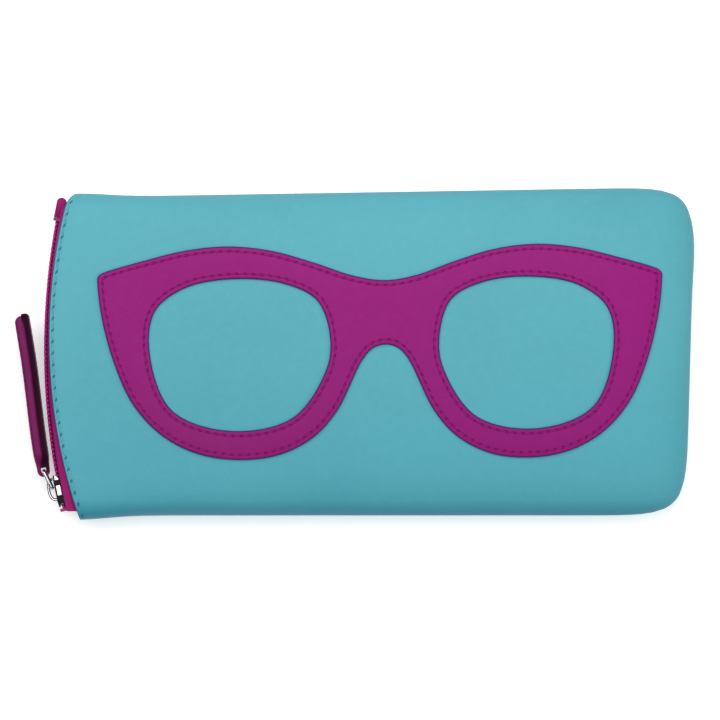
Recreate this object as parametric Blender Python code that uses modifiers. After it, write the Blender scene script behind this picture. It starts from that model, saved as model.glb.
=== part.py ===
"""Soft leather eyeglass case with a curved zip, lying on its back.

Metres, +Z up. The origin is the middle of the flat resting face of the back panel. X runs
along the case, from the zipped mouth at -X to the closed end at +X. The front panel with the
glasses applique faces +Z. The chain of the zip is a circular arc in the XY plane, so the
slider's travel is a turn about the arc's centre.
"""
import math

import bmesh
import bpy
from mathutils import Matrix, Vector
from mathutils.geometry import interpolate_bezier

MM = 0.001

# Outline of the case, seen from the front
TOP_AT_MIDDLE = 46.3 * MM        # upper side at x = 0
TOP_SLOPE = 0.0165               # the upper side rises a little towards the closed end
BOTTOM_AT_MIDDLE = -46.5 * MM
CLOSED_END = 91.4 * MM           # closed end at y = 0
CLOSED_SLOPE = 0.027
CORNER_POWER = 8.3               # squareness of the closed end's corners, about 12 mm round
END_ZONE = 46 * MM               # length over which the closed end rounds off
MOUTH_CENTRE = (64.46 * MM, 4.22 * MM)
MOUTH_RADIUS = 156.44 * MM
MOUTH_FLARE = (1.2 * MM, 1.0 * MM)   # bottom and top corners spread a little at the mouth
FLARE_REACH = 12 * MM
MOUTH_CORNER = -84 * MM
TOP_WRAP = 2.4 * MM              # the upper mouth corner curls back round the side
TOP_WRAP_START = 42.5 * MM
TOP_WRAP_REACH = 3.4 * MM

# Fullness of the case
MID_Z = 11 * MM                  # height of the side seam and of the zip
MOUTH_DEPTH = 6.75 * MM          # half the outer thickness at the mouth
BODY_DEPTH = 11 * MM             # half the outer thickness of the padded body
BACK_BULGE = 0.5 * MM            # the back would bulge this far; the table flattens it
SWELL_START = -90 * MM
SWELL_LENGTH = 75 * MM
MOUTH_FULLNESS = 16.0            # exponents of the cross-section
BODY_FULLNESS = 5.0

# Layers
SEAM_GAP = 0.2 * MM
GAP = 0.3 * MM
LEATHER = 1.1 * MM
FOAM = 1.2 * MM
LINING = 0.5 * MM
FOAM_INSET = 1.75 * MM           # outer faces of the inner layers, in from the leather's
LINING_INSET = 3.4 * MM
FOAM_START = 10 * MM             # distance of the foam's edge behind the mouth edge
LINING_START = 2.2 * MM
TAPE = 0.5 * MM

# Zip
CHAIN_CENTRE = (107.4 * MM, 1.5 * MM)
CHAIN_RADIUS = 200 * MM
CHAIN_ENDS = (-45.2 * MM, 42.6 * MM)
SLIDER_Y = -39.2 * MM            # zip closed
COIL_IN = -0.15 * MM             # across the chain, outwards from its mid-line
COIL_OUT = 0.95 * MM
COIL_HALF_WIDTH = (0.35 * MM, 2.1 * MM)
TAPE_OUT = -0.45 * MM
TAPE_EDGE = 0.45 * MM
TAPE_FLAT = 3.75 * MM
TAPE_BEND = 3.4 * MM
TAPE_TUCK = 8.5 * MM             # how far the tape runs under the leather
TAPE_CLEARANCE = 0.5 * MM        # between the leather's inside and the tape
TAPE_BENDS = 5
CHAIN_STEPS = 28

# Ends of the zip
TAB_Y = 39.4 * MM
TAB_LENGTH = 3.7 * MM                # straight part
TAB_OUT = 1.2 * MM
TAB_IN = -1.25 * MM
TAB_THICKNESS = 0.4 * MM
TAB_HALF_WIDTH = 2.6 * MM
BOTTOM_STOP_Y = 38.3 * MM
TOP_STOPS_Y = -44.6 * MM
STOP_LENGTH = 0.9 * MM
STOP_PLATE = (1.2 * MM, 1.6 * MM)
STOP_LEG = 0.4 * MM
STOP_HALF_WIDTH = 2.55 * MM
TAB_TURN_STEPS = 10

# Slider
SLIDER_LENGTH = 9.4 * MM
SLIDER_WIDTH = 6.6 * MM
SLIDER_ROUND = 0.35 * MM
PLATE_IN = 1.25 * MM
PLATE_OUT = 1.8 * MM
FLANGE_IN = 2.5 * MM
TAPE_SLOT_IN = 0.1 * MM
WEDGE_HALF = 0.17 * MM
WEDGE_SPAN = (-4.0 * MM, -2.2 * MM)
BRIDGE_SPAN = (-2.7 * MM, 4.1 * MM)
BRIDGE_RISE = 2.2 * MM
BRIDGE_THICKNESS = 0.6 * MM
BRIDGE_WIDTH = 2.2 * MM
BRIDGE_POWER = 0.7                   # squareness of the arch
BRIDGE_STEPS = 14
SINK = 0.2 * MM                      # how far the wedge and bridge run into the plates

# Pull
RING_AXIS = (1.2 * MM, 2.58 * MM)    # along and out from the slider's middle
RING_LEAN = math.radians(14.4)       # away from the chain
RING_LENGTH = 5.5 * MM
RING_HALF_WIDTH = 3.6 * MM
RING_CORNER = 0.9 * MM
RING_CORNER_STEPS = 4
WIRE_RADIUS = 0.5 * MM
PULL_LEAN = math.radians(9.3)        # away from +Y
PULL_LENGTH = 45.5 * MM
PULL_THICKNESS = 4.2 * MM
PULL_NECK = 1.4 * MM                 # the pull is narrow up to here, past the ring
PULL_SWELL = 5 * MM                  # and full size from here
PULL_TIP = (0.8 * MM, 1.6 * MM)      # chamfers of the tip, inner and outer side
PULL_WIDE_CORNER = 2.2 * MM
PULL_CORNER_CUT = 0.3                # the corner is two straight cuts that meet here
PULL_STITCH_INSET = 1.2 * MM
PULL_STITCH_END = 3 * MM
PULL_STITCH_GAP = 0.15 * MM
PULL_HALF_WIDTH = 4.25 * MM
PULL_NECK_HALF_WIDTH = 2.3 * MM
EYE_RADIUS = 1.75 * MM
EYE_HOLE = 0.8 * MM
EYE_STEPS = 10
HOLE_STEPS = 12

# Applique: right half of the glasses, from the top of the bridge round to the nose, in mm
GLASSES_CENTRE = 4.4 * MM
GLASSES_TURN = math.radians(0.5)
GLASSES_STRETCH = {-1: 1.02, 1: 0.98}
GLASSES_OUTLINE = (
    (0, 20.9), (9, 22.3), (20, 26.1), (32, 29.6), (44, 30.9), (56, 29.8), (68, 26.9),
    (78.4, 23.9), (80.6, 21.6), (79.6, 11.5), (76.2, -2.0), (70.8, -14.2), (62.5, -23.2),
    (52.5, -28.3), (41, -30.0), (30, -28.6), (20.6, -23.8), (13.8, -16.2), (6.4, -1.4),
    (3.4, 1.7), (0, 2.6))
LENS_OUTLINE = (
    (15.5, 4.0), (19.0, 15.2), (28.5, 20.2), (43, 21.6), (56, 19.2), (64.4, 12.9),
    (66.3, 2.0), (60.3, -15.5), (44, -21.7), (26.3, -18.2), (17.0, -5.2))
APPLIQUE = 1.0 * MM
APPLIQUE_LIFT = 0.4 * MM
DRAPE_CUTS = ((13 * MM, 6), (7 * MM, 4))   # spacing and number each way, along X and Y
CURVE_STEPS = 3

# Sewing threads
THREAD_RADIUS = 0.22 * MM
MOUTH_STITCH_ENDS = (-42.5 * MM, 42.5 * MM)
MOUTH_STITCH_STEPS = 24
MOUTH_STITCH_INSET = 1.1 * MM
APPLIQUE_STITCH_INSET = 1.5 * MM
SEAM_THREAD_RADIUS = 0.3 * MM
SEAM_THREAD_INSET = 1.9 * MM
SEAM_CHANNEL = 0.75 * MM             # half the gap between the foam edges, for that thread

WELD = 0.001 * MM
SOLVE_ROUNDS = 6
SIDE_STEPS = 9
END_TURNS = (0, 12, 28, 45, 62, 78)  # degrees from the middle of the closed end
EDGENESS = (1, 0.9993, 0.985, 0.95, 0.89, 0.8, 0.66, 0.45, 0)


# ---------------------------------------------------------------- the case's surface

def smooth(t):
    t = min(max(t, 0.0), 1.0)
    return t * t * (3.0 - 2.0 * t)


def mouth_x(y):
    """X of the mouth's leather edge at height y on the front."""
    arc = MOUTH_CENTRE[0] - math.sqrt(MOUTH_RADIUS ** 2 - (y - MOUTH_CENTRE[1]) ** 2)
    return arc + TOP_WRAP * smooth((y - TOP_WRAP_START) / TOP_WRAP_REACH)


def closed_x(y, inset=0.0):
    return CLOSED_END + CLOSED_SLOPE * y - inset


def side_limits(x, inset=0.0):
    """Lower and upper side of the case at x, before the corners of the closed end."""
    flare = math.exp(-((x - MOUTH_CORNER) / FLARE_REACH) ** 2)
    bottom = BOTTOM_AT_MIDDLE - MOUTH_FLARE[0] * flare
    top = TOP_AT_MIDDLE + TOP_SLOPE * x + MOUTH_FLARE[1] * flare
    return bottom + inset, top - inset


def section(x, inset=0.0):
    """Half the outer thickness in the middle of the section at x, and its fullness."""
    swell = smooth((x - SWELL_START) / SWELL_LENGTH)
    depth = MOUTH_DEPTH + (BODY_DEPTH - MOUTH_DEPTH) * swell
    return depth - inset, MOUTH_FULLNESS + (BODY_FULLNESS - MOUTH_FULLNESS) * swell


def half_thickness(x, edgeness, inset=0.0):
    """Half the outer thickness at x; edgeness is 0 at the middle and 1 at the side seam."""
    depth, fullness = section(x, inset)
    return depth * math.sqrt(max(0.0, 1.0 - min(edgeness, 1.0) ** fullness))


def surface_z(x, y, face):
    """Height of the leather's outer surface; face is 1 for the front, -1 for the back."""
    bottom, top = side_limits(x)
    across = abs(2 * y - top - bottom) / (top - bottom)
    along = max(0.0, 1 - (closed_x(y) - x) / END_ZONE)
    edgeness = (across ** CORNER_POWER + along ** CORNER_POWER) ** (1 / CORNER_POWER)
    return face_z(half_thickness(x, edgeness), face)


def face_z(half, face, inset=0.0):
    if face > 0:
        return MID_Z + half
    return max(inset, MID_Z - half * (BODY_DEPTH + BACK_BULGE) / BODY_DEPTH)


def surface_normal(x, y, face):
    step = 0.5 * MM
    slope_x = (surface_z(x + step, y, face) - surface_z(x - step, y, face)) / (2 * step)
    slope_y = (surface_z(x, y + step, face) - surface_z(x, y - step, face)) / (2 * step)
    return Vector((-slope_x, -slope_y, 1)).normalized() * face


def case_point(column, edgeness, face, start, seam_gap, inset=0.0):
    """A point of the outer surface, or of the same shape inset all round.

    column runs round the case: 0 to 1 along the upper side from the mouth, 1 to 3 round the
    closed end, 3 to 4 back along the lower side. edgeness is 1 at the seam, 0 at the spine.
    """
    turn = min(max((2 - column) * math.pi / 2, -math.pi / 2), math.pi / 2)
    across = math.copysign(abs(math.sin(turn)) ** (2 / CORNER_POWER), turn)
    along = max(math.cos(turn), 0.0) ** (2 / CORNER_POWER)
    towards_mouth = max(1 - column, column - 3, 0.0)
    y = 0.0
    for _ in range(SOLVE_ROUNDS):
        end_zone = closed_x(y, inset) - END_ZONE
        if towards_mouth > 0:
            x = end_zone + (mouth_x(y) + start - end_zone) * towards_mouth
        else:
            x = end_zone + END_ZONE * along * edgeness
        depth, fullness = section(x, inset)
        edgeness = min(edgeness, (1 - (seam_gap / depth) ** 2) ** (1 / fullness))
        bottom, top = side_limits(x, inset)
        y = (top + bottom) / 2 + across * edgeness * (top - bottom) / 2
    return Vector((x, y, face_z(half_thickness(x, edgeness, inset), face, inset)))


# ---------------------------------------------------------------- small tools

def clear_scene():
    for item in list(bpy.data.objects):
        bpy.data.objects.remove(item, do_unlink=True)


def new_collection(name):
    collection = bpy.data.collections.new(name)
    bpy.context.scene.collection.children.link(collection)
    return collection


def material(name, color, roughness, metallic=0.0):
    made = bpy.data.materials.get(name)
    if made is None:
        made = bpy.data.materials.new(name)
        made.use_nodes = True
        shader = made.node_tree.nodes["Principled BSDF"]
        shader.inputs["Base Color"].default_value = (*color, 1)
        shader.inputs["Roughness"].default_value = roughness
        shader.inputs["Metallic"].default_value = metallic
    return made


def add_object(name, mesh, look, collection):
    item = bpy.data.objects.new(name, mesh)
    collection.objects.link(item)
    if look is not None:
        mesh.materials.append(look)
    return item


def mesh_from(bm, name):
    bmesh.ops.recalc_face_normals(bm, faces=bm.faces)
    mesh = bpy.data.meshes.new(name)
    bm.to_mesh(mesh)
    bm.free()
    return mesh


def grid_mesh(name, columns, rows, place, flip):
    """A grid of points place(column, row), with its face normals turned over by flip."""
    bm = bmesh.new()
    wide, high = len(columns) - 1, len(rows) - 1
    bmesh.ops.create_grid(bm, x_segments=wide, y_segments=high, size=1)
    for vertex in bm.verts:
        column = columns[round((vertex.co.x + 1) / 2 * wide)]
        row = rows[round((vertex.co.y + 1) / 2 * high)]
        vertex.co = place(column, row)
    if flip:
        bmesh.ops.reverse_faces(bm, faces=bm.faces)
    bmesh.ops.remove_doubles(bm, verts=bm.verts, dist=WELD)
    mesh = bpy.data.meshes.new(name)
    bm.to_mesh(mesh)
    bm.free()
    mesh.shade_smooth()
    return mesh


def thicken(item, thickness, outwards=False):
    """A wall from an open surface, inwards unless outwards is set."""
    wall = item.modifiers.new("Wall", "SOLIDIFY")
    wall.thickness = thickness
    wall.offset = 1 if outwards else -1


def round_edges(item, width):
    bevel = item.modifiers.new("Round", "BEVEL")
    bevel.width = width
    bevel.segments = 2
    bevel.limit_method = "ANGLE"


def curve_outline(name, loops, half_thickness_z, look, collection, plane):
    """A closed mesh from flat outlines; plane is the matrix that places the XY outline."""
    curve = bpy.data.curves.new(name, "CURVE")
    curve.dimensions = "2D"
    curve.fill_mode = "BOTH"
    curve.extrude = half_thickness_z
    for loop in loops:
        spline = curve.splines.new("POLY")
        spline.points.add(len(loop) - 1)
        for point, (a, b) in zip(spline.points, loop):
            point.co = (a, b, 0, 1)
        spline.use_cyclic_u = True
    outline = bpy.data.objects.new(name, curve)
    collection.objects.link(outline)
    bpy.context.view_layer.update()
    graph = bpy.context.evaluated_depsgraph_get()
    mesh = bpy.data.meshes.new_from_object(outline.evaluated_get(graph))
    mesh.name = name
    bpy.data.objects.remove(outline, do_unlink=True)
    mesh.transform(plane)
    bm = bmesh.new()
    bm.from_mesh(mesh)
    bmesh.ops.remove_doubles(bm, verts=bm.verts, dist=WELD)
    if half_thickness_z > 0:
        bmesh.ops.recalc_face_normals(bm, faces=bm.faces)
    bm.to_mesh(mesh)
    bm.free()
    mesh.materials.clear()
    return add_object(name, mesh, look, collection)


def box(bm, low, high):
    size = [b - a for a, b in zip(low, high)]
    centre = [(a + b) / 2 for a, b in zip(low, high)]
    place = Matrix.Translation(centre) @ Matrix.Diagonal((*size, 1))
    bmesh.ops.create_cube(bm, size=1, matrix=place)


def box_object(name, low, high, look, collection):
    bm = bmesh.new()
    box(bm, low, high)
    return add_object(name, mesh_from(bm, name), look, collection)


def combine(item, tool, operation):
    tool.display_type = "WIRE"
    tool.hide_render = True
    modifier = item.modifiers.new(operation.title(), "BOOLEAN")
    modifier.operation = operation
    modifier.object = tool
    modifier.solver = "EXACT"


def spline_loop(points, steps):
    """A closed smooth curve (centripetal Catmull-Rom) through the points."""
    count = len(points)
    made = []
    for i in range(count):
        before, start, end, after = [Vector(points[(i + k) % count]) for k in (-1, 0, 1, 2)]
        gaps = [math.sqrt((b - a).length)
                for a, b in ((before, start), (start, end), (end, after))]
        chord = (end - start) / gaps[1]
        leave = ((start - before) / gaps[0] - (end - before) / (gaps[0] + gaps[1]) + chord)
        arrive = (chord - (after - start) / (gaps[1] + gaps[2]) + (after - end) / gaps[2])
        made += interpolate_bezier(
            start, start + leave * gaps[1] / 3, end - arrive * gaps[1] / 3, end, steps + 1)[:-1]
    return made


def inset_loop(loop, inset):
    """The loop moved sideways by inset, to its left as it runs."""
    count = len(loop)
    made = []
    for i in range(count):
        along = (loop[(i + 1) % count] - loop[i - 1]).normalized()
        made.append(loop[i] + Vector((-along.y, along.x)) * inset)
    return made


def thread(name, points, radius, closed, look, collection):
    """A sewing thread along the points."""
    curve = bpy.data.curves.new(name, "CURVE")
    curve.dimensions = "3D"
    curve.bevel_depth = radius
    curve.bevel_resolution = 0
    curve.use_fill_caps = not closed
    spline = curve.splines.new("POLY")
    spline.points.add(len(points) - 1)
    for spot, point in zip(spline.points, points):
        spot.co = (*point, 1)
    spline.use_cyclic_u = closed
    curve.materials.append(look)
    item = bpy.data.objects.new(name, curve)
    collection.objects.link(item)
    return item


def on_case(point, lift, face=1):
    """A point of the plan, raised by lift from the leather."""
    spot = Vector((point.x, point.y, surface_z(point.x, point.y, face)))
    return spot + surface_normal(point.x, point.y, face) * lift


# ---------------------------------------------------------------- materials

def leather():
    return material("turquoise_leather", (0.16, 0.52, 0.62), 0.5)


def applique_leather():
    return material("fuchsia_leather", (0.33, 0.02, 0.2), 0.5)


def pull_leather():
    return material("plum_leather", (0.17, 0.02, 0.1), 0.45)


def padding():
    return material("grey_foam", (0.55, 0.55, 0.55), 0.9)


def lining():
    return material("plum_lining", (0.2, 0.03, 0.14), 0.9)


def tape():
    return material("fuchsia_tape", (0.26, 0.02, 0.13), 0.85)


def nylon():
    return material("fuchsia_nylon", (0.3, 0.03, 0.16), 0.4)


def turquoise_thread():
    return material("turquoise_thread", (0.1, 0.4, 0.5), 0.6)


def fuchsia_thread():
    return material("fuchsia_thread", (0.24, 0.015, 0.15), 0.6)


def chrome():
    return material("chrome", (0.8, 0.8, 0.82), 0.15, 1.0)


# ---------------------------------------------------------------- panels and layers

def case_columns():
    """Column values round the case, from the mouth along the top and back along the bottom."""
    side = [i / SIDE_STEPS for i in range(SIDE_STEPS + 1)]
    corner = [2 - turn / 90 for turn in END_TURNS[::-1]]
    half = side + corner
    return half + [4 - column for column in half[-2::-1]]


def case_layer(name, face, thickness, inset, start, seam_gap, look, collection):
    def place(column, edgeness):
        return case_point(column, edgeness, face, start, seam_gap, inset)

    mesh = grid_mesh(name, case_columns(), EDGENESS, place, face > 0)
    thicken(add_object(name, mesh, look, collection), thickness)


def make_panels(collection):
    for side, face in (("front", 1), ("back", -1)):
        case_layer(f"{side}_panel", face, LEATHER, 0, 0, SEAM_GAP, leather(), collection)
        case_layer(f"{side}_padding", face, FOAM, FOAM_INSET, FOAM_START,
                   SEAM_CHANNEL, padding(), collection)
        case_layer(f"{side}_lining", face, LINING, LINING_INSET, LINING_START,
                   SEAM_CHANNEL, lining(), collection)


def make_mouth_stitching(collection):
    low, high = MOUTH_STITCH_ENDS
    line = []
    for i in range(MOUTH_STITCH_STEPS + 1):
        y = low + (high - low) * i / MOUTH_STITCH_STEPS
        line.append(Vector((mouth_x(y) + MOUTH_STITCH_INSET, y)))
    for side, face in (("front", 1), ("back", -1)):
        points = [on_case(point, GAP + THREAD_RADIUS, face) for point in line]
        thread(f"{side}_mouth_stitching", points, THREAD_RADIUS, False, turquoise_thread(),
               collection)


def make_seam_thread(collection):
    """The thread round three sides, in the channel between the edges of the foam."""
    line = [case_point(column, 1, 1, FOAM_START, 0) for column in case_columns()]
    inner = []
    for i, point in enumerate(line):
        along = line[min(i + 1, len(line) - 1)] - line[max(i - 1, 0)]
        inwards = Vector((along.y, -along.x, 0)).normalized()
        spot = point + inwards * SEAM_THREAD_INSET
        inner.append(Vector((spot.x, spot.y, MID_Z)))
    thread("side_seam_thread", inner, SEAM_THREAD_RADIUS, False, turquoise_thread(), collection)


# ---------------------------------------------------------------- applique

def glasses_point(point, side):
    """A point of the glasses outline on the case, for the left (-1) or right (1) half."""
    x = side * point[0] * GLASSES_STRETCH[side] * MM
    y = point[1] * MM
    cos, sin = math.cos(GLASSES_TURN), math.sin(GLASSES_TURN)
    return Vector((GLASSES_CENTRE + x * cos - y * sin, x * sin + y * cos))


def glasses_loops():
    """Outer outline and the left and right lens holes, all running anticlockwise."""
    right = [glasses_point(p, 1) for p in GLASSES_OUTLINE]
    left = [glasses_point(p, -1) for p in GLASSES_OUTLINE[1:-1]]
    outer = spline_loop((right + left[::-1])[::-1], CURVE_STEPS)
    left_lens = spline_loop([glasses_point(p, -1) for p in LENS_OUTLINE], CURVE_STEPS)
    right_lens = spline_loop([glasses_point(p, 1) for p in LENS_OUTLINE[::-1]], CURVE_STEPS)
    return outer, left_lens, right_lens


def drape(mesh):
    """Lay a flat mesh over the front panel, cut into strips so that it can bend."""
    bm = bmesh.new()
    bm.from_mesh(mesh)
    for axis, (spacing, count) in zip((Vector((1, 0, 0)), Vector((0, 1, 0))), DRAPE_CUTS):
        for i in range(-count, count + 1):
            bmesh.ops.bisect_plane(bm, geom=bm.verts[:] + bm.edges[:] + bm.faces[:],
                                   plane_co=axis * spacing * i, plane_no=axis)
    for vertex in bm.verts:
        vertex.co.z = surface_z(vertex.co.x, vertex.co.y, 1) + APPLIQUE_LIFT
    bm.to_mesh(mesh)
    bm.free()


def make_applique(collection):
    loops = glasses_loops()
    item = curve_outline("glasses_applique", loops, 0, applique_leather(), collection,
                         Matrix.Identity(4))
    drape(item.data)
    thicken(item, APPLIQUE, outwards=True)
    names = ("applique_outline_stitching", "left_lens_stitching", "right_lens_stitching")
    insets = (APPLIQUE_STITCH_INSET, -APPLIQUE_STITCH_INSET, -APPLIQUE_STITCH_INSET)
    for name, loop, inset in zip(names, loops, insets):
        line = [on_case(point, APPLIQUE_LIFT + APPLIQUE + GAP + THREAD_RADIUS)
                for point in inset_loop(loop, inset)]
        thread(name, line, THREAD_RADIUS, True, fuchsia_thread(), collection)


# ---------------------------------------------------------------- zip

def chain_angle(y):
    return math.asin((y - CHAIN_CENTRE[1]) / CHAIN_RADIUS)


def chain_point(angle, out, z):
    """A point on the zip: its angle round the chain's centre and its distance outwards."""
    radius = CHAIN_RADIUS + out
    return Vector((CHAIN_CENTRE[0] - radius * math.cos(angle),
                   CHAIN_CENTRE[1] + radius * math.sin(angle), MID_Z + z))


def chain_angles():
    start, end = (chain_angle(y) for y in CHAIN_ENDS)
    return [start + (end - start) * i / CHAIN_STEPS for i in range(CHAIN_STEPS + 1)]


def make_coils(collection):
    for side, face in (("front", 1), ("back", -1)):
        def place(width, angle, face=face):
            return chain_point(angle, COIL_OUT, face * width)

        name = f"{side}_zip_coil"
        mesh = grid_mesh(name, COIL_HALF_WIDTH, chain_angles(), place, face < 0)
        thicken(add_object(name, mesh, nylon(), collection), COIL_OUT - COIL_IN)


def tape_lift(y):
    """Distance of the tape's outer face from the mid-height where it lies under the leather."""
    bottom, top = side_limits(mouth_x(y))
    tuck = LEATHER + TAPE_CLEARANCE
    eta = (2 * y - top - bottom) / (top - bottom - 2 * tuck)
    return (MOUTH_DEPTH - tuck) * math.sqrt(1 - abs(eta) ** MOUTH_FULLNESS)


def make_tapes(collection):
    columns = [(TAPE_EDGE, 0), (TAPE_FLAT, 0)]
    columns += [(None, math.pi / 2 * i / TAPE_BENDS) for i in range(1, TAPE_BENDS + 1)]
    columns += [(None, None)]
    for side, face in (("front", 1), ("back", -1)):
        def place(column, angle, face=face):
            height, bend = column
            spot = chain_point(angle, TAPE_OUT, 0)
            lift = tape_lift(spot.y)
            if height is not None:
                return spot + Vector((0, 0, face * min(height, lift)))
            if bend is not None:
                rise = max(lift - TAPE_FLAT, 0) * math.sin(bend)
                inwards = TAPE_BEND * (1 - math.cos(bend))
                return spot + Vector((inwards, 0, face * (TAPE_FLAT + rise)))
            spot.x = mouth_x(spot.y) + TAPE_TUCK
            return spot + Vector((0, 0, face * lift))

        name = f"{side}_zip_tape"
        mesh = grid_mesh(name, columns, chain_angles(), place, face < 0)
        thicken(add_object(name, mesh, tape(), collection), TAPE)


def chain_pose(y):
    """Frame on the chain at height y: -X points outwards and +Y along the chain."""
    angle = chain_angle(y)
    return Matrix.Translation(chain_point(angle, 0, 0)) @ Matrix.Rotation(-angle, 4, "Z")


def make_end_tab(collection):
    """A strip folded over the end of the chain."""
    middle = (TAB_OUT + TAB_IN) / 2
    radius = (TAB_OUT - TAB_IN) / 2
    outer = radius + TAB_THICKNESS
    turns = [math.pi / 2 - math.pi * i / TAB_TURN_STEPS for i in range(TAB_TURN_STEPS + 1)]
    loop = [(0, middle + outer)]
    loop += [(TAB_LENGTH + outer * math.cos(t), middle + outer * math.sin(t)) for t in turns]
    loop += [(0, middle - outer), (0, middle - radius)]
    loop += [(TAB_LENGTH + radius * math.cos(t), middle + radius * math.sin(t))
             for t in turns[::-1]]
    loop += [(0, middle + radius)]
    quarter = Matrix.Rotation(math.pi / 2, 4, "Z")
    curve_outline("zip_end_tab", [loop], TAB_HALF_WIDTH, tape(), collection,
                  chain_pose(TAB_Y) @ quarter)


def clip(bm, pose, low_z, high_z, both_legs):
    """A crimped clip: a plate outside the coil and a leg on one or both sides of it."""
    inner, outer = STOP_PLATE
    high_leg, low_leg = high_z - STOP_LEG, low_z + STOP_LEG
    half = STOP_LENGTH / 2
    loop = [(low_z, outer), (high_z, outer), (high_z, COIL_IN), (high_leg, COIL_IN),
            (high_leg, inner)]
    if both_legs:
        loop += [(low_leg, inner), (low_leg, COIL_IN), (low_z, COIL_IN)]
    else:
        loop += [(low_z, inner)]
    corners = [bm.verts.new(pose @ Vector((-out, -half, z))) for z, out in loop]
    face = bm.faces.new(corners)
    made = bmesh.ops.extrude_face_region(bm, geom=[face])
    moved = [v for v in made["geom"] if isinstance(v, bmesh.types.BMVert)]
    shift = pose.to_3x3() @ Vector((0, STOP_LENGTH, 0))
    bmesh.ops.translate(bm, verts=moved, vec=shift)


def make_stops(collection):
    turned = Matrix.Rotation(math.pi, 4, "Y") @ Matrix.Scale(-1, 4, (1, 0, 0))
    half = STOP_HALF_WIDTH
    low = COIL_HALF_WIDTH[0]
    stops = (("zip_bottom_stop", chain_pose(BOTTOM_STOP_Y), -half, True),
             ("front_zip_top_stop", chain_pose(TOP_STOPS_Y), low, False),
             ("back_zip_top_stop", chain_pose(TOP_STOPS_Y) @ turned, low, False))
    for name, pose, low_z, both_legs in stops:
        bm = bmesh.new()
        clip(bm, pose, low_z, half, both_legs)
        add_object(name, mesh_from(bm, name), nylon(), collection)


# ---------------------------------------------------------------- slider and pull

def bridge_loop():
    """Side view of the bridge: an arch along the slider, its feet sunk in the plate."""
    middle = (BRIDGE_SPAN[0] + BRIDGE_SPAN[1]) / 2
    half = (BRIDGE_SPAN[1] - BRIDGE_SPAN[0]) / 2
    base = PLATE_OUT - SINK
    loop = []
    turns = [math.pi * i / BRIDGE_STEPS for i in range(BRIDGE_STEPS + 1)]
    for order, shrink in ((turns, 0), (turns[::-1], BRIDGE_THICKNESS)):
        for turn in order:
            reach = math.copysign(abs(math.cos(turn)) ** BRIDGE_POWER, math.cos(turn))
            rise = abs(math.sin(turn)) ** BRIDGE_POWER
            loop.append((middle + (half - shrink) * reach,
                         base + (PLATE_OUT + BRIDGE_RISE - base - shrink) * rise))
    return loop


def make_slider(collection, cutters, pivot):
    pose = chain_pose(SLIDER_Y)
    length, width = SLIDER_LENGTH / 2, SLIDER_WIDTH / 2
    slider = box_object("slider_body", (-PLATE_OUT, -length, -width),
                        (PLATE_OUT, length, width), chrome(), collection)
    round_edges(slider, SLIDER_ROUND)
    channel = box_object("slider_channel_cutter", (-PLATE_IN, -2 * length, -FLANGE_IN),
                         (PLATE_IN, 2 * length, FLANGE_IN), None, cutters)
    slot = box_object("slider_tape_slot_cutter", (TAPE_SLOT_IN, -2 * length, -2 * width),
                      (PLATE_IN, 2 * length, 2 * width), None, cutters)
    wedge = box_object("slider_wedge", (-PLATE_IN - SINK, WEDGE_SPAN[0], -WEDGE_HALF),
                       (PLATE_IN + SINK, WEDGE_SPAN[1], WEDGE_HALF), None, cutters)
    quarter = Matrix.Rotation(math.pi / 2, 4, "Z")
    bridge = curve_outline("slider_bridge", [bridge_loop()], BRIDGE_WIDTH / 2, None,
                           cutters, quarter)
    for tool, operation in ((channel, "DIFFERENCE"), (slot, "DIFFERENCE"),
                            (wedge, "UNION"), (bridge, "UNION")):
        tool.matrix_world = pose
        combine(slider, tool, operation)
    hang(slider, pivot, pose)
    return pose


def hang(item, parent, pose):
    """Parent the item and give it this pose in the world."""
    item.parent = parent
    item.matrix_parent_inverse = parent.matrix_world.inverted()
    item.matrix_basis = pose
    bpy.context.view_layer.update()


def make_ring(collection, slider, slider_at):
    """Wire loop through the bridge; its origin is the middle of the bar in the bridge."""
    along, out = RING_AXIS
    pose = slider_at @ Matrix.Translation((-out, along, 0)) @ Matrix.Rotation(RING_LEAN, 4, "Z")
    low, high = 0.0, RING_LENGTH
    corners = ((high - RING_CORNER, RING_HALF_WIDTH - RING_CORNER, 0),
               (low + RING_CORNER, RING_HALF_WIDTH - RING_CORNER, 90),
               (low + RING_CORNER, RING_CORNER - RING_HALF_WIDTH, 180),
               (high - RING_CORNER, RING_CORNER - RING_HALF_WIDTH, 270))
    curve = bpy.data.curves.new("pull_ring", "CURVE")
    curve.dimensions = "3D"
    curve.bevel_depth = WIRE_RADIUS
    curve.bevel_resolution = 2
    spline = curve.splines.new("POLY")
    points = []
    for y, z, start in corners:
        for step in range(RING_CORNER_STEPS + 1):
            turn = math.radians(start + 90 * step / RING_CORNER_STEPS)
            points.append((0, y + RING_CORNER * math.cos(turn), z + RING_CORNER * math.sin(turn)))
    spline.points.add(len(points) - 1)
    for spot, point in zip(spline.points, points):
        spot.co = (*point, 1)
    spline.use_cyclic_u = True
    curve.materials.append(chrome())
    ring = bpy.data.objects.new("pull_ring", curve)
    collection.objects.link(ring)
    hang(ring, slider, pose)
    return ring, pose


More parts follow.
